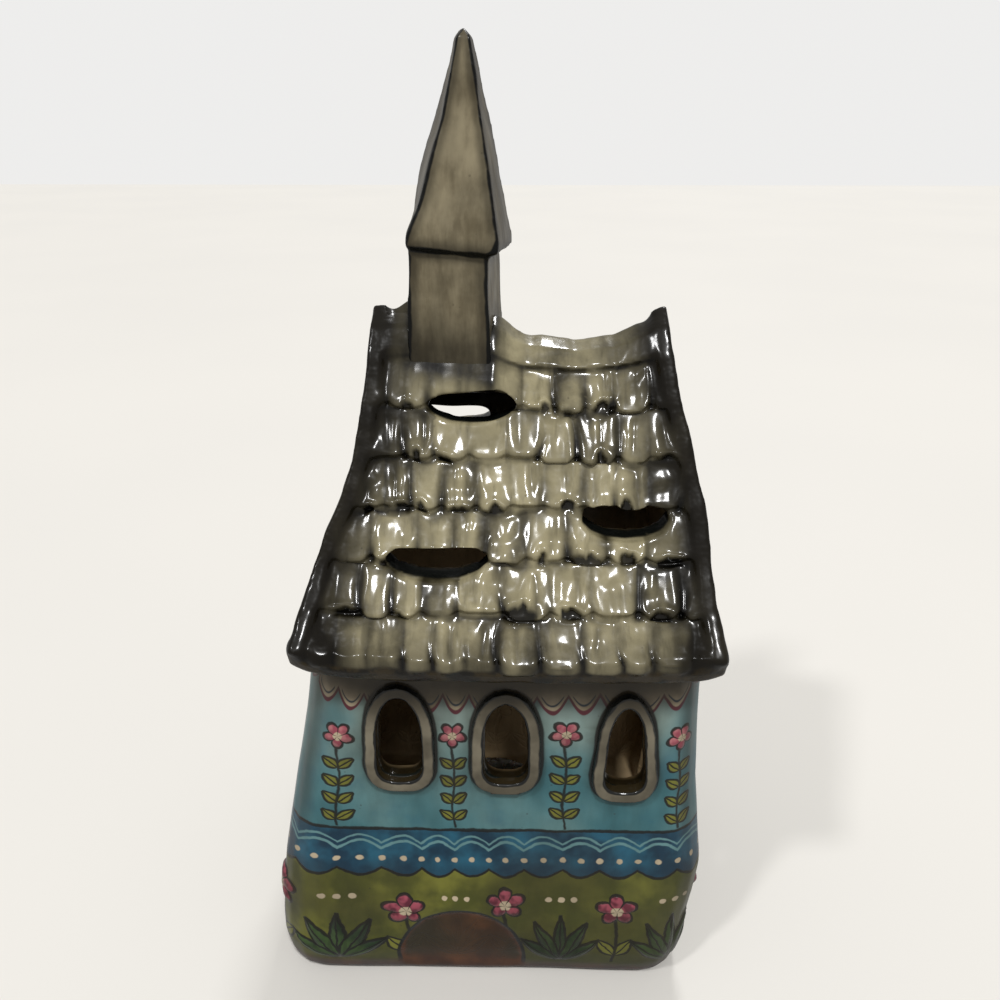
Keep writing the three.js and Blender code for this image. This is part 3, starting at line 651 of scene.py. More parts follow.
class Value:
    """A node's output. Arithmetic on it adds nodes to its board; | keeps the larger of two values."""

    def __init__(self, board, socket):
        self.board = board
        self.socket = socket

    def __add__(self, other):
        return self.board.math("ADD", self, other)

    def __sub__(self, other):
        return self.board.math("SUBTRACT", self, other)

    def __rsub__(self, other):
        return self.board.math("SUBTRACT", other, self)

    def __mul__(self, other):
        return self.board.math("MULTIPLY", self, other)

    def __truediv__(self, other):
        return self.board.math("DIVIDE", self, other)

    def __pow__(self, other):
        return self.board.math("POWER", self, other)

    def __or__(self, other):
        return self.board.math("MAXIMUM", self, other)

    def __abs__(self):
        return self.board.math("ABSOLUTE", self)

    def swing(self, reach):
        """Noise about zero instead of one half, scaled by a reach."""
        return (self - 0.5) * reach

    def step(self, low, high, to_low=0.0, to_high=1.0):
        """A soft step from one limit to the other."""
        return self.board.value(
            "ShaderNodeMapRange", {"interpolation_type": "SMOOTHSTEP"},
            Value=self, From_Min=low, From_Max=high, To_Min=to_low, To_Max=to_high,
        )

    def blend(self, low, high, first, second):
        """A colour that goes softly from the first to the second as the value passes its limits."""
        return self.board.mix(self.step(low, high), first, second)

    def mix(self, share, other, blend="MIX"):
        """This colour with another laid over it."""
        return self.board.mix(share, self, other, blend)


class Board:
    """Adds nodes to one material, group or world; an input takes a number, a colour or a Value."""

    def __init__(self, tree):
        self.tree = tree

    def feed(self, socket, value):
        if isinstance(value, Value):
            self.tree.links.new(value.socket, socket)
        elif isinstance(value, tuple) and len(value) == 3 and socket.type == "RGBA":
            socket.default_value = (*value, 1.0)
        else:
            socket.default_value = value

    def feed_named(self, node, **inputs):
        for name, value in inputs.items():
            self.feed(node.inputs[name.replace("_", " ")], value)

    def feed_in_order(self, sockets, values):
        for socket, value in zip(sockets, values):
            self.feed(socket, value)

    def add(self, kind, settings=None, **inputs):
        node = self.tree.nodes.new(kind)
        for name, value in (settings or {}).items():
            setattr(node, name, value)
        self.feed_named(node, **inputs)
        return node

    def value(self, kind, settings=None, output=0, **inputs):
        return Value(self, self.add(kind, settings, **inputs).outputs[output])

    def math(self, operation, *values, clamp=False):
        node = self.add("ShaderNodeMath", {"operation": operation, "use_clamp": clamp})
        self.feed_in_order(node.inputs, values)
        return Value(self, node.outputs[0])

    def vector(self, operation, *values):
        node = self.add("ShaderNodeVectorMath", {"operation": operation})
        self.feed_in_order(node.inputs, values)
        return Value(self, node.outputs[0])

    def scaled(self, vector, factor):
        return self.value("ShaderNodeVectorMath", {"operation": "SCALE"}, Vector=vector, Scale=factor)

    def stretched(self, place, *scale):
        return self.value("ShaderNodeMapping", {"vector_type": "POINT"}, Vector=place, Scale=scale)

    def parts(self, place):
        node = self.add("ShaderNodeSeparateXYZ", Vector=place)
        return [Value(self, output) for output in node.outputs]

    def mix(self, share, first, second, blend="MIX"):
        node = self.add("ShaderNodeMix", {"data_type": "RGBA", "blend_type": blend})
        self.feed_in_order([node.inputs[0], node.inputs[6], node.inputs[7]], [share, first, second])
        return Value(self, node.outputs[2])

    def noise(self, place, scale, detail=2.0, roughness=0.5, output=0):
        return self.value(
            "ShaderNodeTexNoise", {"noise_dimensions": "3D"}, output,
            Vector=place, Scale=scale, Detail=detail, Roughness=roughness,
        )

    def grains(self, place, scale):
        """Distance from the nearest of many scattered points."""
        return self.value("ShaderNodeTexVoronoi", {"feature": "F1"}, "Distance", Vector=place, Scale=scale)

    def attribute(self, name):
        return self.value("ShaderNodeAttribute", {"attribute_name": name}, "Fac")

    def group(self, name, **inputs):
        tree = bpy.data.node_groups.get(name) or GROUPS[name]()
        node = self.add("ShaderNodeGroup", {"node_tree": tree}, **inputs)
        return {output.name: Value(self, output) for output in node.outputs}


def new_group(name, inputs, outputs):
    """A shader node group with named sockets, and its board, the values that come in and its output node."""
    tree = bpy.data.node_groups.new(name, "ShaderNodeTree")
    for way, sockets in (("INPUT", inputs), ("OUTPUT", outputs)):
        for title, kind in sockets.items():
            tree.interface.new_socket(name=title, in_out=way, socket_type=f"NodeSocket{kind}")
    board = Board(tree)
    entry = {output.name: Value(board, output) for output in board.add("NodeGroupInput").outputs}
    return tree, board, entry, board.add("NodeGroupOutput")


def brush_wobble_group():
    """Shifts a painted place a little, as a brush held in the hand does."""
    tree, board, entry, leave = new_group(
        "Brush Wobble", {"Place": "Vector", "Reach": "Float", "Fineness": "Float"}, {"Place": "Vector"}
    )
    noise = board.noise(entry["Place"], entry["Fineness"], 1.0, output="Color")
    shift = board.scaled(board.vector("SUBTRACT", noise, (0.5, 0.5, 0.5)), entry["Reach"])
    board.feed_named(leave, Place=board.vector("ADD", entry["Place"], shift))
    return tree


def blossom_group():
    """A flower about a local zero."""
    tree, board, entry, leave = new_group(
        "Painted Blossom",
        {"Across": "Float", "Up": "Float", "Radius": "Float", "Turn": "Float"},
        {"Petals": "Float", "Outline": "Float", "Eye": "Float"},
    )
    across, up, radius = entry["Across"], entry["Up"], entry["Radius"]
    away = board.math("SQRT", across * across + up * up)
    angle = board.math("ARCTAN2", up, across) + entry["Turn"]
    lobe = abs(board.math("COSINE", angle * (PETALS / 2)))
    inside = radius * (lobe * PETAL_DEPTH + (1 - PETAL_DEPTH)) - away
    valley = lobe.step(0.3, 0.1) * inside.step(-0.1, 0.2)
    board.feed_named(
        leave,
        Petals=inside.step(-0.15, 0.15),
        Outline=abs(inside).step(0.55, 0.25) | valley,
        Eye=(away / radius).step(0.34, 0.26),
    )
    return tree


def leaf_group():
    """A pointed leaf that grows from a local zero."""
    tree, board, entry, leave = new_group(
        "Painted Leaf",
        {"Across": "Float", "Up": "Float", "Length": "Float", "Width": "Float", "Turn": "Float"},
        {"Leaf": "Float", "Outline": "Float"},
    )
    across, up = entry["Across"], entry["Up"]
    cosine = board.math("COSINE", entry["Turn"])
    sine = board.math("SINE", entry["Turn"])
    share = board.math("DIVIDE", across * cosine + up * sine, entry["Length"], clamp=True)
    beside = abs(up * cosine - across * sine)
    inside = entry["Width"] * board.math("SINE", share**LEAF_SWELL * math.pi) - beside
    live = share.step(0.0, 0.03) * share.step(1.0, 0.97)
    strokes = abs(inside).step(0.45, 0.2) | beside.step(0.28, 0.12)
    board.feed_named(leave, Leaf=live * inside.step(-0.12, 0.12), Outline=live * strokes)
    return tree


def glaze_group():
    """Glaze that runs thin over raised clay and darkens by its pool share: pooled glaze in the low places, and
    painted shade where a finish adds it to that share.
    """
    tree, board, entry, leave = new_group(
        "Pooled Glaze",
        {"Colour": "Color", "Pool": "Float", "Place": "Vector", "Tint": "Color"},
        {"Colour": "Color", "Roughness": "Float", "Height": "Float"},
    )
    place, tint = entry["Place"], entry["Tint"]
    cloud = board.noise(place, 60.0, 3.0)
    run = board.noise(board.stretched(place, 1.0, 1.0, 0.3), 260.0, 3.0)
    # The pool share holds pooled glaze and the painted shade that the finishes put in it
    pool = board.math("ADD", entry["Pool"], cloud.swing(0.55), clamp=True)
    soft = entry["Colour"].mix(run.step(0.3, 0.75, 0.0, 0.22), tint, "MULTIPLY")
    specks = board.grains(place, 430.0).step(0.16, 0.08, 0.0, 0.45)
    specks = specks * board.noise(place, 180.0, 1.0).step(0.62, 0.7)
    board.feed_named(
        leave,
        Colour=soft.mix(pool, tint, "MULTIPLY").mix(specks, SPECK),
        Roughness=cloud.step(0.3, 0.7, 0.3, 0.42),
        Height=board.noise(place, 340.0) * 0.35 + run * 0.4,
    )
    return tree


GROUPS = {
    "Brush Wobble": brush_wobble_group,
    "Painted Blossom": blossom_group,
    "Painted Leaf": leaf_group,
    "Pooled Glaze": glaze_group,
}


def new_finish(name):
    """A material, its board, a Principled shader linked to its output, and the place on the object."""
    material = bpy.data.materials.new(name)
    material.use_nodes = True
    material.node_tree.nodes.clear()
    board = Board(material.node_tree)
    shader = board.add("ShaderNodeBsdfPrincipled")
    board.add("ShaderNodeOutputMaterial", Surface=Value(board, shader.outputs[0]))
    return material, board, shader, board.value("ShaderNodeTexCoord", None, "Object")


def glaze_over(board, shader, place, colour, pool, tint, coat, coat_roughness=0.14):
    """Lays clear gloss glaze over a colour and returns the height of its ripples."""
    glaze = board.group("Pooled Glaze", Colour=colour, Pool=pool, Place=place, Tint=tint)
    board.feed_named(shader, Base_Color=glaze["Colour"], Roughness=glaze["Roughness"])
    board.feed_named(shader, Specular_IOR_Level=0.12, IOR=1.5)
    board.feed_named(shader, Coat_Weight=coat, Coat_Roughness=coat_roughness, Coat_IOR=1.52)
    return glaze["Height"]


def relief(board, shader, height, distance):
    bump = board.value("ShaderNodeBump", Height=height, Distance=distance, Strength=1.0)
    board.feed_named(shader, Normal=bump)


# Finishes


class WallPainting:
    """The painting on the walls: lay() puts a colour over the ground, draw() adds dark brush strokes."""

    def __init__(self, board, place, colours):
        self.board = board
        self.place = place
        self.colours = colours
        hand = board.scaled(board.value("ShaderNodeUVMap", {"uv_map": "painting"}), PAINTING_UNIT)
        for reach, fineness in ((1.0, 0.16), (0.45, 0.7)):
            hand = board.group("Brush Wobble", Place=hand, Reach=reach, Fineness=fineness)["Place"]
        self.along, self.up, _ = board.parts(hand)
        self.wash = board.noise(place, 26.0, 3.0, 0.55)
        self.fine_wash = board.noise(place, 95.0, 3.0, 0.55)
        self.petal_wash = board.noise(place, 420.0, 1.0)
        self.pressure = board.noise(place, 130.0)
        self.under = self.shaky("under", 1.6)
        self.rose = self.petal_wash.blend(0.38, 0.62, colours.pink, colours.rose)
        self.earth = self.fine_wash.blend(0.35, 0.68, colours.foot, colours.foot_light)

    def lay(self, share, colour):
        self.ground = self.ground.mix(share, colour)

    def draw(self, strokes):
        self.outline = self.outline | strokes

    def shaky(self, name, reach):
        """A distance kept with the points, blurred by the uneven pressure of the brush."""
        return self.board.attribute(name) + self.pressure.swing(reach)

    def arches(self, run):
        """Round arches side by side, from 0 at their feet to 1 at their tops."""
        return abs(self.board.math("SINE", run))

    def line(self, distance, half):
        """A brush line whose ink thins out here and there."""
        return (self.pressure * (half * 0.9) + half * 0.55 - abs(distance)).step(-0.22, 0.16)

    def band(self, value, low, high, soft=0.3):
        return value.step(low - soft, low + soft) * value.step(high + soft, high - soft)

    def bend(self, run, turn, reach):
        return self.board.math("SINE", run * turn) * reach

    def cell_place(self, offset):
        """Distance from the nearest cell middle, and the slow rise and fall from cell to cell."""
        shifted = self.along / CELL - offset
        index = self.board.math("FLOOR", shifted + 0.5)
        return (shifted - index) * CELL, self.board.math("SINE", (index + offset) * SWAY_TURN)

    def dots(self, run, pitch, height, core):
        """Round dots in a row, one to every two pitches."""
        beside = self.board.math("PINGPONG", run, pitch)
        above = self.up - height
        return self.board.math("SQRT", beside * beside + above * above).step(0.95, core)

    def add_leaf(self, across, rise, turn, length, half_width, within=1.0):
        size = {"Length": length, "Width": half_width, "Turn": turn}
        leaf = self.board.group("Painted Leaf", Across=across, Up=rise, **size)
        self.lay(leaf["Leaf"] * within, self.colours.meadow_light)
        self.draw(leaf["Outline"] * within)

    def add_blossom(self, across, rise, shape, petals):
        size = {"Radius": shape["radius"], "Turn": shape["turn"]}
        flower = self.board.group("Painted Blossom", Across=across, Up=rise - shape["height"], **size)
        self.lay(flower["Petals"], petals)
        self.lay(flower["Eye"], self.colours.cream)
        self.outline = self.outline * (1 - flower["Petals"]) | flower["Outline"]

    def paint_ground(self):
        """Olive at the foot, a blue band with scallops, waves and dots, and turquoise above."""
        colours, wash, fine_wash, up = self.colours, self.wash, self.fine_wash, self.up
        green = fine_wash.blend(0.36, 0.66, colours.meadow, colours.meadow_light)
        green = green.mix(wash.step(0.42, 0.62, 0.0, 0.55), colours.moss)
        green = green.mix(up.step(22.0, 5.0, 0.0, 0.7), colours.moss)
        blue = fine_wash.blend(0.36, 0.68, colours.band, colours.band_light)
        blue = blue.mix(up.step(43.0, 38.0, 0.0, 0.6), colours.band)
        sky = wash.blend(0.36, 0.64, colours.turquoise, colours.turquoise_light)
        sky = sky.mix(fine_wash.step(0.5, 0.72, 0.0, 0.35), colours.band_light)
        sky = sky.mix(up.step(64.0, 90.0) * wash.step(0.4, 0.6, 0.15, 0.62), colours.pale_wash)
        scallops = self.arches(self.along * (3 * math.pi / CELL)) * 2.4
        low_edge = up + scallops - 39.0
        high_edge = up - 51.4
        self.ground = green.mix(low_edge.step(-0.3, 0.3), blue).mix(high_edge.step(-0.3, 0.3), sky)
        self.outline = self.line(low_edge, 0.4) | self.line(high_edge, 0.42)
        for height, half in ((45.2, 0.42), (47.0, 0.3)):
            self.lay(self.line(up - scallops - height, half) * 0.9, colours.turquoise_light)
        self.lay(self.dots(self.along, 2.25, 42.0, 0.6), colours.cream)

    def paint_border(self):
        """Scalloped cream border that follows the roof."""
        colours = self.colours
        hung = self.arches(self.board.attribute("border") * (math.pi / 7.7))
        scallop = hung * 4.0 + 18.0 - self.under
        self.lay(scallop.step(-0.2, 0.2), self.fine_wash.blend(0.4, 0.65, colours.cream, colours.cream_shade))
        self.lay(self.line(scallop, 0.5), colours.plum)
        self.lay(self.line(scallop - 1.7, 0.22) * hung.step(0.35, 0.5), colours.band)

    def paint_bays(self):
        """Leaf sprig with a blossom between the windows, and under it three dots and a tuft of leaves."""
        at_bay, sway = self.cell_place(0.0)
        beside = abs(at_bay)
        raised = self.up - sway * BAY_BLOSSOM["sway"]
        rung = self.board.math("MODULO", raised - 54.0, 5.2) - 0.7
        self.add_leaf(beside, rung, 0.7, 4.6, 1.35, self.band(raised, 54.0, 74.6, 0.05))
        stem = self.line(at_bay + self.bend(raised, 0.35, 0.3), 0.3)
        self.draw(stem * self.band(self.up, 52.0, BAY_BLOSSOM["height"]))
        self.add_blossom(at_bay, raised, BAY_BLOSSOM, self.rose)
        leaf = self.fine_wash.blend(0.4, 0.62, self.colours.leaf_dark, self.colours.leaf)
        for turn, length, half_width in TUFT_BLADES:
            size = {"Length": length, "Width": half_width, "Turn": turn}
            blade = self.board.group("Painted Leaf", Across=beside, Up=self.up - TUFT_FOOT, **size)
            self.lay(blade["Leaf"], leaf)
            self.outline = self.outline * (1 - blade["Leaf"] * 0.7) | blade["Outline"]
        self.lay(self.dots(at_bay + 30.0, 1.5, 29.5, 0.65) * beside.step(4.6, 4.4), self.colours.cream)

    def paint_low_blossoms(self):
        """Blossoms with two leaves under the windows."""
        at_window, sway = self.cell_place(0.5)
        stalk = self.line(at_window + self.bend(self.up, 0.3, 0.5), 0.4)
        self.draw(stalk * self.band(self.up, 7.0, 25.0))
        self.add_leaf(abs(at_window), self.up - 10.0, 0.95, 7.5, 1.7)
        berry = self.petal_wash.blend(0.38, 0.6, self.colours.plum, self.colours.pink)
        self.add_blossom(at_window, self.up - sway * LOW_BLOSSOM["sway"], LOW_BLOSSOM, berry)

    def paint_gables(self):
        """One large blossom with leaves high in each gable."""
        _, across, height = self.board.parts(self.board.scaled(self.place, 1 / MM))
        height = height + self.pressure.swing(0.8)
        for lift, *blade in GABLE_LEAVES:
            self.add_leaf(abs(across), height - lift, *blade)
        self.draw(self.line(across, 0.4) * self.band(height, 98.5, 121.0))
        self.add_blossom(across, height, GABLE_BLOSSOM, self.rose)

    def dull(self):
        """Thin umber wash that dulls the painting here and there, and painted shade in umber on the upright
        corners.
        """
        here_and_there = self.wash.step(0.44, 0.66, 0.08, 0.42)
        self.lay(here_and_there * self.fine_wash.step(0.3, 0.6, 0.5, 1.0), self.colours.umber)
        # Painted shade on the upright corners, stronger higher up the wall
        corner = self.board.attribute("corner") * self.wash.step(0.3, 0.6, 0.4, 0.65)
        self.lay(corner * self.up.step(40.0, 62.0, 0.35, 1.0), self.colours.umber)

    def paint_foot(self):
        """Brown pressed arch and brown foot."""
        ragged = self.shaky("arch", 1.3)
        self.lay(ragged.step(0.2, -0.2), self.earth)
        self.lay(self.line(ragged, 0.5), self.colours.outline)
        self.lay((self.up + self.wash.swing(9.0)).step(7.5, 3.0), self.earth)

    def paint_inside(self, below):
        """Painted shade in umber under the roof and at the mouths of the window reveals, then the plain glaze
        deeper in the reveals and inside.
        """
        colours = self.colours
        # Painted shade of the eave, stronger towards the roof's underside
        self.lay(self.under.step(25.0, 15.5, 0.0, 0.96), colours.umber)
        inside = self.wash.blend(0.35, 0.65, colours.inside, colours.inside_light)
        # Painted shade in umber at the mouths of the reveals, then the inside glaze
        self.lay(below.step(0.7, 1.1), below.blend(2.6, 4.6, colours.umber, inside))


def painted_glaze(colours):
    """Walls: brush-painted bands, sprigs and blossoms under a clear gloss glaze, with painted shade in umber
    under the eave, in the reveals and on the upright corners, brown inside.
    """
    material, board, shader, place = new_finish("Painted wall glaze")
    painting = WallPainting(board, place, colours)
    painting.paint_ground()
    painting.paint_border()
    painting.paint_low_blossoms()
    painting.paint_bays()
    painting.paint_gables()
    painting.draw(painting.shaky("ring", 0.8).step(1.0, 0.5))
    painting.lay(painting.outline * 0.94, colours.outline)
    painting.dull()
    painting.paint_foot()
    below = board.attribute("below")
    painting.paint_inside(below)
    coat = below.step(1.2, 2.4, 0.7, 0.15)
    # Pool share: pooled glaze, with painted shade under the eave among it
    pool = board.attribute("pool")
    height = glaze_over(board, shader, place, painting.ground, pool, colours.pool_tint, coat)
    relief(board, shader, height - painting.outline * 0.6, 0.00016)
    return material


def shingle_glaze(colours):
    """Roof: grey-olive glaze, pale on the tabs and nearly black in the grooves and along the edges, partly
    painted shade there, with painted shade in the slots and underneath.
    """
    material, board, shader, place = new_finish("Shingle glaze")
    cloud = board.noise(place, 34.0, 3.0)
    fine = board.noise(place, 170.0, 4.0, 0.6)
    shine = board.attribute("pale") * 0.62 + cloud * 0.55 + fine.swing(0.55)
    base = shine.blend(0.26, 0.92, colours.roof, colours.roof_pale)
    drips = board.noise(board.stretched(place, 1.0, 0.25, 0.25), 300.0, 3.0, 0.6)
    base = base.mix(drips.step(0.5, 0.68, 0.0, 0.42), colours.roof_mid)
    # Dark along the rakes and eaves: darker glaze with painted shade
    edge = board.math("ADD", cloud.swing(0.5), board.attribute("edge"), clamp=True)
    lip = fine.blend(0.4, 0.62, colours.lip, colours.roof_dark)
    base = base.mix(edge, colours.roof_dark).mix(board.attribute("lip"), lip)
    # Painted shade: near black in the slots' reveals and umber on the underside
    inner = board.attribute("inner")
    base = base.mix(inner, colours.outline).mix(inner.step(1.0, 2.0), colours.umber)
    coat = (edge * -0.5 + 0.78) * inner.step(0.0, 1.0, 1.0, 0.2)
    height = glaze_over(board, shader, place, base, board.attribute("pool"), colours.roof_tint, coat, 0.13)
    relief(board, shader, board.noise(place, 230.0) * 1.5 + height, 0.00028)
    return material


def steeple_glaze(colours):
    """Steeple: warm grey brushed glaze with dark painted edges, and painted shade at its foot and on the
    spire's sides.
    """
    material, board, shader, place = new_finish("Steeple glaze")
    cloud = board.noise(place, 75.0, 4.0, 0.6)
    brush = board.noise(board.stretched(place, 1.0, 1.0, 0.18), 320.0, 4.0, 0.6)
    base = (cloud * 0.7 + brush * 0.5).blend(0.42, 0.78, colours.steeple, colours.steeple_pale)
    edge = board.attribute("from_edge") + board.noise(place, 160.0, 3.0).swing(1.2)
    base = base.mix(edge.step(3.6, 1.2, 0.0, 0.5), colours.roof_dark)
    base = base.mix(edge.step(0.95, 0.45), colours.outline)
    height = glaze_over(board, shader, place, base, board.attribute("pool"), colours.roof_tint, 0.25, 0.2)
    relief(board, shader, height + brush * 0.8, 0.00025)
    return material


def surround_glaze(colours):
    """Window surrounds: pale glaze on the bead between dark brush lines, with painted shade in umber over the
    crown and in the reveal.
    """
    material, board, shader, place = new_finish("Surround glaze")
    cloud = board.noise(place, 110.0, 3.0)
    fine = board.noise(place, 240.0).swing(0.9)
    outer = board.attribute("outer") + fine
    inner = board.attribute("inner") + fine
    # Painted shade of the eave in umber over the top of each surround
    crown = (board.parts(place)[2] + cloud.swing(0.006)).step(0.083, 0.091, 0.0, 0.9)
    base = cloud.blend(0.35, 0.65, colours.surround, colours.surround_pale)
    base = base.mix(crown, colours.umber).mix(outer.step(-0.7, -0.2), colours.outline)
    base = base.mix(inner.step(0.7, 0.4), colours.outline)
    # Painted shade in umber where the bead's inner edge goes into the reveal
    base = base.mix(inner.step(0.3, 0.05) * board.attribute("sunk").step(-1.7, -1.2), colours.umber)
    height = glaze_over(board, shader, place, base, 0.08, colours.pool_tint, 0.8)
    relief(board, shader, height, 0.0002)
    return material


def foil(colours):
    """Thin pressed foil with rolling marks."""
    material, board, shader, place = new_finish("Pressed foil")
    lines = board.noise(board.stretched(place, 1.0, 1.0, 6.0), 900.0, 3.0)
    creases = board.noise(place, 260.0)
    board.feed_named(
        shader,
        Base_Color=board.mix(lines, colours.foil, colours.foil_dull),
        Roughness=creases.step(0.3, 0.7, 0.2, 0.38),
        Metallic=1.0,
    )
    relief(board, shader, creases + lines * 0.2, 0.0002)
    return material


def wax(colours):
    """Poured wax, a little mottled, with light that sinks in."""
    material, board, shader, place = new_finish("Poured wax")
    cloud = board.noise(place, 220.0, 3.0)
    board.feed_named(
        shader,
        Base_Color=board.mix(cloud, colours.wax, colours.wax_shade),
        Roughness=cloud.step(0.3, 0.7, 0.38, 0.55),
        Subsurface_Weight=0.35,
        Subsurface_Radius=(0.004, 0.003, 0.002),
        Subsurface_Scale=0.6,
    )
    relief(board, shader, cloud, 0.00015)
    return material


def wick_cotton(colours):
    """Braided cotton, waxed white below and charred at the tip, with painted shade in the braid's hollows."""
    material, board, shader, place = new_finish("Waxed cotton")
    bands = {"wave_type": "BANDS", "bands_direction": "DIAGONAL"}
    braid = board.value("ShaderNodeTexWave", bands, "Fac", Vector=place, Scale=520.0, Distortion=1.5)
    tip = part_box("wick")[1].z
    charred = board.parts(place)[2].step(tip - 4 * MM, tip - 2 * MM)
    # Painted shade in the hollows of the braid
    yarn = board.mix(braid, colours.cotton_shade, colours.cotton)
    board.feed_named(shader, Base_Color=yarn.mix(charred, CHAR), Roughness=0.8)
    relief(board, shader, braid, 0.0003)
    return material


def tinplate(colours):
    """Stamped tin-plated steel."""
    material, board, shader, place = new_finish("Tinplate")
    spangle = board.grains(place, 700.0)
    board.feed_named(
        shader,
        Base_Color=board.mix(spangle, colours.foil_dull, colours.foil),
        Roughness=spangle.step(0.1, 0.8, 0.25, 0.4),
        Metallic=1.0,
    )
    return material


# Settings that a user would change


def linear(value):
    """Light value of a colour channel given as it shows on screen, from 0 to 255."""
    share = value / 255
    return share / 12.92 if share <= 0.04045 else ((share + 0.055) / 1.055) ** 2.4


def colour_setting(key, description, *channels):
    return bpy.props.FloatVectorProperty(
        name=key.replace("_", " ").capitalize(), description=description,
        subtype="COLOR", size=4, min=0.0, max=1.0, default=(*map(linear, channels), 1.0),
    )


def length_setting(name, description, default):
    return bpy.props.FloatProperty(
        name=name, description=description, default=default,
        min=0.0, precision=5, subtype="DISTANCE", unit="LENGTH",
    )


def strength_setting(name, description, default):
    return bpy.props.FloatProperty(name=name, description=description, default=default, min=0)


class TEALIGHT_PG_clay(bpy.types.PropertyGroup):
    wall_grain: length_setting("Wall grain", "Size of the clay grain that the walls are fused with", 0.00072)
    roof_grain: length_setting("Roof grain", "Size of the clay grain that the roof is fused with", 0.0006)
    steeple_grain: length_setting("Steeple grain", "Size of the clay grain of the tower and spire", 0.0006)
    surround_grain: length_setting("Surround grain", "Size of the clay grain of the surrounds", 0.00042)
    seam_swell: length_setting("Seam swell", "How far each slab swells to close its seams", 0.00018)
    shingle_relief: strength_setting("Shingle relief", "Share of the shingles' full depth of relief", 1.0)
    painting_relief: length_setting("Painting relief", "How far the painted blossoms stand out", 0.001)
    foot_bulge: length_setting("Foot bulge", "How far clay is smeared up the foot of the tower", 0.0018)
    wall_lumps: length_setting("Wall lumps", "Height of the unevenness of the walls", 0.0007)
    cup_flutes: bpy.props.IntProperty(
        name="Cup flutes", description="Flutes round the tea light cup", default=40, min=8, max=90
    )


COLOURS = {
    "turquoise": ("Upper wall ground", 60, 112, 120),
    "turquoise_light": ("Brushed lights of the upper wall", 112, 156, 158),
    "pale_wash": ("Thin wash between the windows", 176, 186, 172),
    "band": ("Blue band", 12, 53, 75),
    "band_light": ("Brushed lights of the blue band", 38, 104, 130),
    "meadow": ("Lower wall ground", 82, 85, 27),
    "meadow_light": ("Brushed lights of the lower wall and small leaves", 126, 126, 48),
    "moss": ("Shade in the lower wall", 60, 63, 24),
    "leaf_dark": ("Shade of the leaf tufts", 28, 48, 26),
    "leaf": ("Leaf tufts", 58, 82, 40),
    "cream": ("Scallops, dots and flower eyes", 208, 190, 160),
    "cream_shade": ("Shade of the scalloped border", 158, 142, 114),
    "pink": ("Blossoms", 164, 76, 92),
    "rose": ("Lights of the small blossoms", 192, 120, 124),
    "plum": ("Large blossoms and scallop line", 104, 34, 54),
    "outline": ("Dark brush line", 14, 16, 14),
    "foot": ("Brown at the foot and in the arch", 60, 31, 12),
    "foot_light": ("Brushed lights in the arch", 98, 57, 27),
    # Umber is painted shade under the eave, over the surrounds' crowns, in the reveals, on the roof's
    # underside and on the upright corners, and also a thin dulling wash
    "umber": ("Brown under the eave", 50, 42, 26),
    "inside": ("Glaze inside", 150, 128, 96),
    "inside_light": ("Thin glaze inside", 178, 156, 122),
    # What pooled glaze and painted shade on the walls and surrounds darken to
    "pool_tint": ("What pooled clear glaze darkens to", 120, 112, 92),
    "roof": ("Roof glaze where it is thick", 58, 53, 36),
    "roof_mid": ("Drips in the roof glaze", 76, 70, 48),
    "roof_pale": ("Thin glaze on the shingles", 172, 162, 128),
    # Dark glaze along rakes and eaves, partly painted shade there
    "roof_dark": ("Glaze along rakes and eaves", 21, 17, 9),
    # What pooled glaze and painted shade on the roof and steeple darken to
    "roof_tint": ("What pooled roof glaze darkens to", 36, 33, 24),
    "lip": ("Olive glaze on the rolled eave", 58, 47, 24),
    "steeple": ("Steeple glaze", 108, 98, 76),
    "steeple_pale": ("Thin glaze on the steeple", 155, 144, 117),
    "surround": ("Window surround glaze", 96, 89, 73),
    "surround_pale": ("Thin glaze on the surrounds", 134, 126, 107),
    "foil": ("Tea light cup", 214, 216, 220),
    "foil_dull": ("Rolling marks in the foil", 178, 180, 184),
    "wax": ("Tea light wax", 240, 235, 222),
    "wax_shade": ("Mottling of the wax", 224, 217, 200),
    "cotton": ("Wick", 226, 220, 204),
    # Painted shade in the hollows of the wick's braid
    "cotton_shade": ("Hollows of the wick's braid", 150, 142, 122),
    "stage": ("Floor", 222, 219, 213),
}


class TEALIGHT_PG_colours(bpy.types.PropertyGroup):
    __annotations__ = {key: colour_setting(key, *row) for key, row in COLOURS.items()}


class TEALIGHT_PG_studio(bpy.types.PropertyGroup):
    lens: bpy.props.FloatProperty(name="Lens", description="Focal length in mm", default=30.96, min=10)
    camera_place: bpy.props.FloatVectorProperty(
        name="Camera place", description="Where the camera stands", subtype="TRANSLATION", unit="LENGTH",
        default=(0.0067, -0.20857, 0.21762),
    )
    camera_turn: bpy.props.FloatVectorProperty(
        name="Camera turn", description="How the camera is turned", subtype="EULER", unit="ROTATION",
        default=(math.radians(66), 0, math.radians(1.1)),
    )
    key_light: strength_setting("Key light", "Strength of the light from the front right", 1.55)
    fill_light: strength_setting("Fill light", "Strength of the light from the front left", 0.8)
    back_light: strength_setting("Back light", "Strength of the light from behind", 0.9)
    room_light: strength_setting("Room light", "Strength of the even room light", 0.4)


# Operators


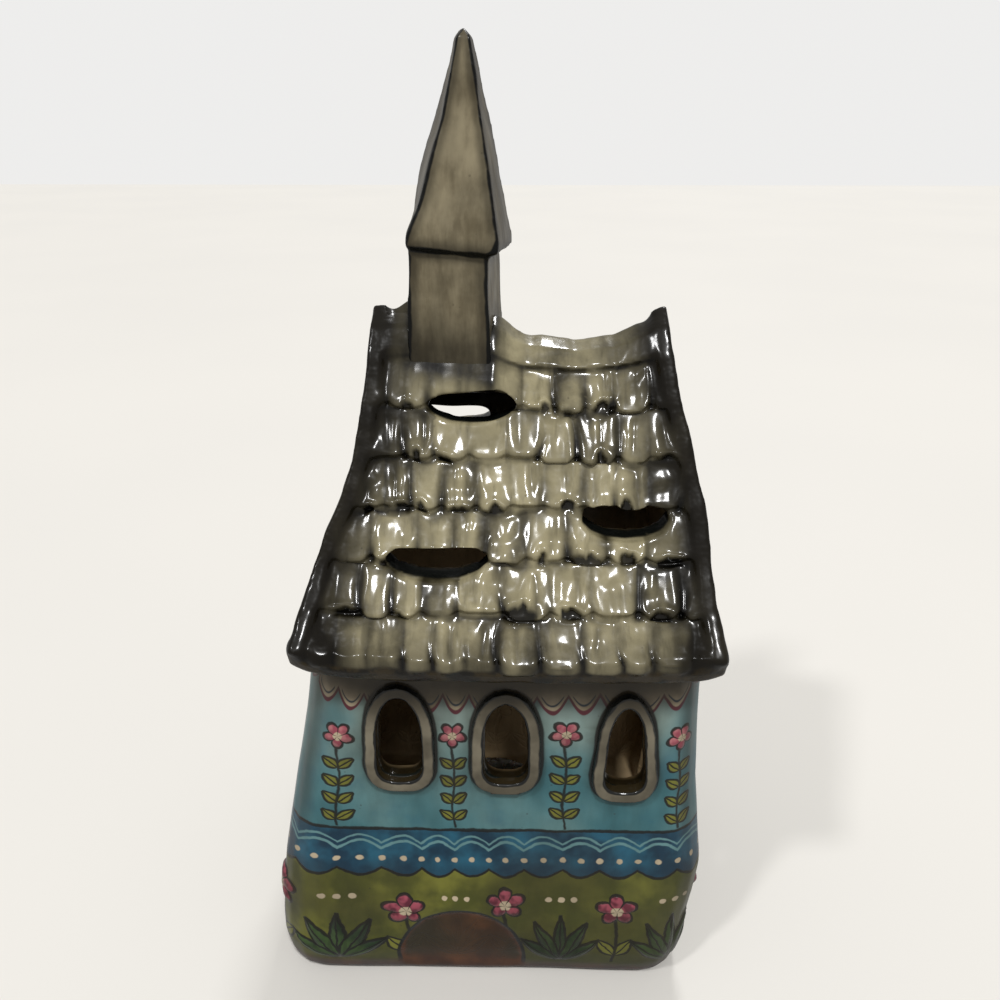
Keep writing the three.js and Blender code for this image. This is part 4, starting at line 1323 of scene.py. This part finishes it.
class TEALIGHT_OT_walls(bpy.types.Operator):
    """Fuse the wall slabs and the floor into one thrown and painted body"""

    bl_idname = "tealight.walls"
    bl_label = "Painted Walls"

    def execute(self, context):
        clay = context.scene.tealight_clay
        walls = copy_nodes("painted_walls", WALL_NODES)
        fuse_clay(walls, clay.wall_grain, clay.seam_swell, rounds=8)
        rise = painting_relief(points_of(walls)) * clay.painting_relief / MM
        move_points(walls, read_vectors(walls, "normal") * rise[:, None])
        smooth(walls, 1)
        roughen(walls, "Wall lumps", size=0.028, height=clay.wall_lumps)
        self.level_foot(walls)
        thin_out(walls, WALL_TRIANGLES)
        points = points_of(walls)
        along, up, below = painting_place(points)
        station, under, _ = roof_place(points)
        ring = from_surrounds(points)
        # Pool share that darkens the glaze: painted shade under the eave together with pooled glaze there, and
        # darker towards the foot and round the surrounds
        pool = 0.7 * smooth_step(18, 8, under) + 0.5 * smooth_step(8, 0, up)
        pool = np.clip(pool + 0.7 * np.exp(-np.clip(ring, 0, None) / 1.5), 0, 1)
        store(walls, below=below, under=under, ring=ring, arch=from_arch(points), pool=pool)
        store(walls, border=self.border_run(points, station), corner=self.on_corners(points))
        self.map_painting(walls, along, up)
        material = painted_glaze(context.scene.tealight_colours)
        finish_piece(walls, material, "house", WALL_NODES)
        return {"FINISHED"}

    def level_foot(self, walls):
        """Brings what lies below the table back up to it."""
        move_points(walls, np.clip(-points_of(walls), 0, None) * (0, 0, 1))

    def border_run(self, points, station):
        """Way along the roof's underside, down the gable from its peak and then in along the eave."""
        x, _, z = points.T
        run = np.concatenate([[0], np.cumsum(np.hypot(*np.diff(np.array(ROOF_LINE, float), axis=0).T))])
        inward = 1 - np.clip(np.abs(x) / side_line(LEFT_LINE, RIGHT_LINE, x, z), 0, 1)
        return np.interp(station, range(len(run)), run) + BORDER_HALF * inward

    def on_corners(self, points):
        """Share of each point on the rounded upright corners, from 0 on the flats to 1 half way round."""
        x, y, z = points.T
        past_x = 1 + (np.abs(x) - side_line(LEFT_LINE, RIGHT_LINE, x, z)) / CORNER_RADIUS
        past_y = 1 + (np.abs(y) - smooth_line(DEPTH_LINE, z)) / CORNER_RADIUS
        return smooth_step(0.3, 0.68, np.minimum(past_x, past_y))

    def map_painting(self, walls, along, up):
        """Lays the painting round the walls with its one join at the back left corner."""
        mesh = walls.data
        corners = np.zeros(len(mesh.loops), int)
        starts, counts = np.zeros((2, len(mesh.polygons)), int)
        mesh.loops.foreach_get("vertex_index", corners)
        mesh.polygons.foreach_get("loop_start", starts)
        mesh.polygons.foreach_get("loop_total", counts)
        whole = CELL * (CELL_COUNTS[-1] - CELL_COUNTS[0])
        place = along[corners]
        first = np.repeat(place[starts], counts)
        place = place - whole * np.round((place - first) / whole)
        layer = mesh.uv_layers.new(name="painting")
        layer.data.foreach_set("uv", np.stack([place, up[corners]], 1).ravel() / PAINTING_UNIT)


class TEALIGHT_OT_surrounds(bpy.types.Operator):
    """Press a rounded bead round each window"""

    bl_idname = "tealight.surrounds"
    bl_label = "Window Surrounds"

    def execute(self, context):
        clay = context.scene.tealight_clay
        material = surround_glaze(context.scene.tealight_colours)
        for node, (window, (in_x, in_y)) in SURROUNDS.items():
            bead = copy_nodes(f"{node}_bead", [node])
            sink = SURROUND_SINK * MM
            foot = self.depth(bead) > -1
            edit_points(bead, foot, bpy.ops.transform.translate, value=(sink * in_x, sink * in_y, 0))
            fuse_clay(bead, clay.surround_grain, swell=0.00005, rounds=9)
            roughen(bead, "Bead lumps", size=0.006, height=0.0004)
            x, y, z = points_of(bead).T
            outer, inner = (
                outside(x if in_y else y, z, window_outline(window, band)) for band in (SURROUND_BAND, 0)
            )
            store(bead, sunk=self.depth(bead), outer=outer, inner=inner)
            finish_piece(bead, material, "house", [node])
        return {"FINISHED"}

    def depth(self, bead):
        """Depth of the bead's points under the face of the walls."""
        return around_walls(points_of(bead))[1]


class TEALIGHT_OT_roof(bpy.types.Operator):
    """Fuse the roof slabs with their shingles, copings and rolls, and press the grooves and hollows"""

    bl_idname = "tealight.roof"
    bl_label = "Shingled Roof"

    def execute(self, context):
        clay = context.scene.tealight_clay
        roof = copy_nodes("shingled_roof", ROOF_NODES)
        self.fill_eaves(roof)
        fuse_clay(roof, clay.roof_grain, clay.seam_swell, rounds=3)
        self.soften_joins(roof)
        points = points_of(roof)
        station, depth, side = roof_place(points)
        rise, slide, pool, pale = shingle_relief(points, station, side)
        gap = rake_gap(points)
        foot = from_tower(points)

        # The relief fades towards the copings, the tower and the underside
        skin = smooth_step(3.4, 1.8, depth)
        field = skin * smooth_step(2.6, 6.2, gap)
        calm = 1 - hump(foot / 4.5)
        forward = np.clip(0.5 - (points[:, 0] - TOWER_X) * side / (2 * TOWER_HALF), 0, 1)
        bulge = clay.foot_bulge / MM * (0.15 + 1.75 * forward) * hump(foot / 4.2) * skin
        out, down = slope_directions(station, side)
        rise = rise * field * calm * clay.shingle_relief + bulge
        move_points(roof, out * rise[:, None] + down * (slide * field * calm)[:, None])

        inside = smooth_step(1.5, 3, around_walls(points)[1])
        store(
            roof,
            pale=pale,
            # Pooled glaze, with painted shade round the foot of the tower
            pool=np.clip(pool * field * (0.3 + 0.7 * calm) + 0.9 * hump(foot / 2), 0, 1),
            # Dark glaze along the rakes and eaves, partly painted shade there
            edge=np.clip(smooth_step(21, 2.5, gap) ** 1.25 + smooth_step(7, 8, station) * 0.45, 0, 1),
            lip=smooth_step(7.82, 7.9, station) * smooth_step(1.4, 2.6, depth),
            # The slots' reveals and the roof's underside, painted dark as shade in the finish
            inner=inside * (smooth_step(2, 3, depth) + smooth_step(6, 7, depth)),
        )
        roughen(roof, "Roof lumps", size=0.01, height=0.0008)
        smooth(roof, 1)
        thin_out(roof, ROOF_TRIANGLES)
        material = shingle_glaze(context.scene.tealight_colours)
        finish_piece(roof, material, "house", ROOF_NODES)
        return {"FINISHED"}

    def fill_eaves(self, roof):
        """Presses clay into the crevice between each eave roll and the shingles over it."""
        for node, out in (("front_eave_roll", -1), ("back_eave_roll", 1)):
            filler = copy_nodes(f"{node}_filler", [node])
            edit_points(filler, True, bpy.ops.transform.translate, value=(0, out * MM, 2.2 * MM))
            pick(roof, filler)
            bpy.ops.object.join()

    def soften_joins(self, roof):
        """Smooths the roof beside the copings, round the foot of the tower and at the ends of the eaves."""
        points = points_of(roof)
        gap = rake_gap(points)
        beside_coping = smooth_step(0.5, 2, gap) * smooth_step(8, 5.5, gap)
        beside_tower = smooth_step(6, 3, from_tower(points))
        eave_ends = smooth_step(5, 3, gap) * smooth_step(7.2, 7.7, roof_place(points)[0])
        smooth_part(roof, np.maximum.reduce([beside_coping, beside_tower, eave_ends]), rounds=22)


class TEALIGHT_OT_steeple(bpy.types.Operator):
    """Fuse the tower and its spire and seat them in the ridge"""

    bl_idname = "tealight.steeple"
    bl_label = "Steeple"

    def execute(self, context):
        clay = context.scene.tealight_clay
        steeple = copy_nodes("steeple", STEEPLE_NODES)
        foot = points_of(steeple)[:, 2] < SUNK_BELOW
        edit_points(steeple, foot, bpy.ops.transform.translate, value=(0, 0, -TOWER_SINK * MM))
        fuse_clay(steeple, clay.steeple_grain, clay.seam_swell, rounds=4)
        roughen(steeple, "Steeple lumps", size=0.012, height=0.0009)
        x, y, z = points_of(steeple).T
        across, along = about_tower(x, y, straight_line(SPIRE_LEAN, z))
        half = straight_line(STEEPLE_HALF, z)
        over_rim = z - RIM_Z + RIM_SLOPE * (x - TOWER_X)
        corner = np.clip(half - np.minimum(np.abs(across), np.abs(along)), 0, None)
        # Darker towards the foot of the tower where it meets the roof: painted shade with pooled glaze
        foot = smooth_step(12, 0, z - smooth_line(RIDGE_LINE, x) + 0.55 * np.abs(y))
        # Painted shade on the side faces of the spire
        sides = smooth_step(0.9, 0.98, np.abs(across) / half) * smooth_step(-4, -2.5, over_rim)
        store(
            steeple,
            from_edge=np.minimum(corner, np.abs(over_rim + RIM_DEPTH)),
            pool=np.clip(0.1 + 0.62 * foot + 0.45 * sides, 0, 1),
        )
        forward, leftward = (np.clip(0.5 - place / (2 * half), 0, 1) for place in (along, across))
        pull = straight_line(SPIRE_PULL_BACK, z) * (1 - forward)
        pull += straight_line(SPIRE_PULL_FRONT, z) * forward
        move_points(steeple, (leftward * pull)[:, None] * (1, 0, 0))
        material = steeple_glaze(context.scene.tealight_colours)
        finish_piece(steeple, material, "house", STEEPLE_NODES)
        return {"FINISHED"}


class TEALIGHT_OT_tea_light(bpy.types.Operator):
    """Press the fluted foil cup, pour the wax and set the wick"""

    bl_idname = "tealight.tea_light"
    bl_label = "Tea Light"

    def execute(self, context):
        colours = context.scene.tealight_colours
        self.press_cup(context.scene.tealight_clay.cup_flutes, foil(colours))
        self.pour_wax(wax(colours))
        self.braid_wick(wick_cotton(colours))
        NODES["wick_sustainer"].data.materials.clear()
        NODES["wick_sustainer"].data.materials.append(tinplate(colours))
        return {"FINISHED"}

    def draw_in(self, piece, chosen, share, middle):
        """Draws the points chosen in towards an upright axis."""
        edit_points(piece, chosen, bpy.ops.transform.resize, value=(share, share, 1), center_override=middle)

    def press_cup(self, flutes, material):
        cup, low, high = turn_cylinder("foil_cup", "tea_light_cup", corners=flutes * 4)
        middle, height = (low + high) / 2, high.z - low.z
        mouth = points_of(cup)[:, 2] > high.z / MM - 0.1
        edit_points(cup, mouth, bpy.ops.mesh.delete, type="ONLY_FACE")
        slice_levels(cup, [low.z + 0.07 * height, low.z + 0.5 * height, high.z - 0.1 * height])
        x, y, z = points_of(cup).T
        angle = np.arctan2(y - middle.y / MM, x - middle.x / MM)
        wall = (z > low.z / MM + 0.5) & (z < high.z / MM - 0.8)
        self.draw_in(cup, wall & (np.cos(angle * flutes) < 0), 0.975, middle)
        self.draw_in(cup, z < low.z / MM + 0.1, 0.93, middle)
        apply_modifier(cup, "SOLIDIFY", thickness=0.00035, offset=-1.0)
        sharp = math.radians(50)
        apply_modifier(cup, "BEVEL", width=0.00012, segments=1, limit_method="ANGLE", angle_limit=sharp)
        finish_piece(cup, material, "tea_light", ["tea_light_cup"])

    def pour_wax(self, material):
        pool = copy_nodes("poured_wax", ["tea_light_wax"])
        apply_modifier(pool, "SUBSURF", levels=1, render_levels=1)
        roughen(pool, "Wax ripples", size=0.005, height=0.00025)
        finish_piece(pool, material, "tea_light", ["tea_light_wax"])

    def braid_wick(self, material):
        cord, low, high = turn_cylinder("braided_wick", "wick", corners=16, share=0.92)
        middle, height = (low + high) / 2, high.z - low.z
        slice_levels(cord, [low.z + height * row / WICK_ROWS for row in range(1, WICK_ROWS)])
        rows = np.round((points_of(cord)[:, 2] * MM - low.z) / height * WICK_ROWS)
        self.draw_in(cord, (rows % 2 == 1) & (rows < WICK_ROWS), 0.86, middle)
        for row, lean in ((WICK_ROWS - 2, 0.15), (WICK_ROWS - 1, 0.35), (WICK_ROWS, 0.5)):
            shift = (lean * MM, -lean * MM / 2, 0)
            edit_points(cord, rows == row, bpy.ops.transform.translate, value=shift)
        self.draw_in(cord, rows == WICK_ROWS, 0.6, (middle.x + 0.5 * MM, middle.y, high.z))
        apply_modifier(cord, "SUBSURF", levels=1, render_levels=1)
        finish_piece(cord, material, "tea_light", ["wick"])


class TEALIGHT_OT_stage(bpy.types.Operator):
    """Set the pale floor, the even light and the camera"""

    bl_idname = "tealight.stage"
    bl_label = "Stage and Camera"

    def execute(self, context):
        studio = context.scene.tealight_studio
        self.lay_floor(context.scene.tealight_colours)
        self.light_room(context.scene, studio)
        self.hang_lamp("Key light", studio.key_light, width=6, turn=(32, 0, 18))
        self.hang_lamp("Fill light", studio.fill_light, width=5, turn=(38, 0, -48))
        self.hang_lamp("Back light", studio.back_light, width=8, turn=(38, 0, 165))
        self.set_camera(context.scene, studio)
        context.scene.view_settings.view_transform = "Standard"
        return {"FINISHED"}

    def lay_floor(self, colours):
        bpy.ops.mesh.primitive_plane_add(size=6, location=(0, 0, 0))
        floor = bpy.context.object
        floor.name = "pale_floor"
        material, board, shader, place = new_finish("Pale floor")
        pale = board.mix(board.noise(place, 3.0).step(0.3, 0.7, 0.0, 0.12), colours.stage, FLOOR_CLOUD)
        shown = board.value("ShaderNodeLightPath", None, "Is Camera Ray")
        board.feed_named(shader, Base_Color=board.mix(shown, FLOOR_BOUNCE, pale), Roughness=0.7)
        floor.data.materials.append(material)

    def light_room(self, scene, studio):
        world = scene.world or bpy.data.worlds.new("Room")
        scene.world = world
        world.use_nodes = True
        world.node_tree.nodes.clear()
        board = Board(world.node_tree)
        shown = board.value("ShaderNodeLightPath", None, "Is Camera Ray")
        room = board.value("ShaderNodeBackground", Color=ROOM_COLOUR, Strength=studio.room_light)
        backdrop = board.value("ShaderNodeBackground", Color=BACKDROP, Strength=0.95)
        choice = board.add("ShaderNodeMixShader")
        board.feed_in_order(choice.inputs, [shown, room, backdrop])
        board.add("ShaderNodeOutputWorld", Surface=Value(board, choice.outputs[0]))

    def hang_lamp(self, name, strength, width, turn):
        """A far soft lamp; its width and turn are in degrees."""
        rotation = [math.radians(angle) for angle in turn]
        bpy.ops.object.light_add(type="SUN", location=(0, 0, 1), rotation=rotation)
        lamp = bpy.context.object
        lamp.name = name
        lamp.data.energy = strength
        lamp.data.angle = math.radians(width)

    def set_camera(self, scene, studio):
        bpy.ops.object.camera_add(location=studio.camera_place, rotation=studio.camera_turn)
        camera = bpy.context.object
        camera.name = "Photo camera"
        camera.data.lens = studio.lens
        camera.data.sensor_width = 36
        camera.data.clip_start = 0.01
        camera.data.dof.use_dof = False
        scene.camera = camera


class TEALIGHT_PT_panel(bpy.types.Panel):
    """Lists every step of the tea light house"""

    bl_idname = "TEALIGHT_PT_panel"
    bl_label = "Tea Light House"
    bl_space_type = "VIEW_3D"
    bl_region_type = "UI"
    bl_category = "Tea Light House"

    def draw(self, context):
        for operator in OPERATORS:
            self.layout.operator(operator.bl_idname)
        for name in SETTINGS:
            settings = getattr(context.scene, name)
            box = self.layout.box()
            for key in settings.__annotations__:
                box.prop(settings, key)


OPERATORS = (
    TEALIGHT_OT_walls,
    TEALIGHT_OT_surrounds,
    TEALIGHT_OT_roof,
    TEALIGHT_OT_steeple,
    TEALIGHT_OT_tea_light,
    TEALIGHT_OT_stage,
)
SETTINGS = {
    "tealight_clay": TEALIGHT_PG_clay,
    "tealight_colours": TEALIGHT_PG_colours,
    "tealight_studio": TEALIGHT_PG_studio,
}
CLASSES = (*SETTINGS.values(), *OPERATORS, TEALIGHT_PT_panel)


def register():
    for item in CLASSES:
        bpy.utils.register_class(item)
    for name, group in SETTINGS.items():
        setattr(bpy.types.Scene, name, bpy.props.PointerProperty(type=group))


def unregister():
    for name in SETTINGS:
        delattr(bpy.types.Scene, name)
    for item in reversed(CLASSES):
        bpy.utils.unregister_class(item)


def main():
    register()
    bpy.ops.tealight.walls()
    bpy.ops.tealight.surrounds()
    bpy.ops.tealight.roof()
    bpy.ops.tealight.steeple()
    bpy.ops.tealight.tea_light()
    bpy.ops.tealight.stage()


if __name__ == "__main__":
    main()
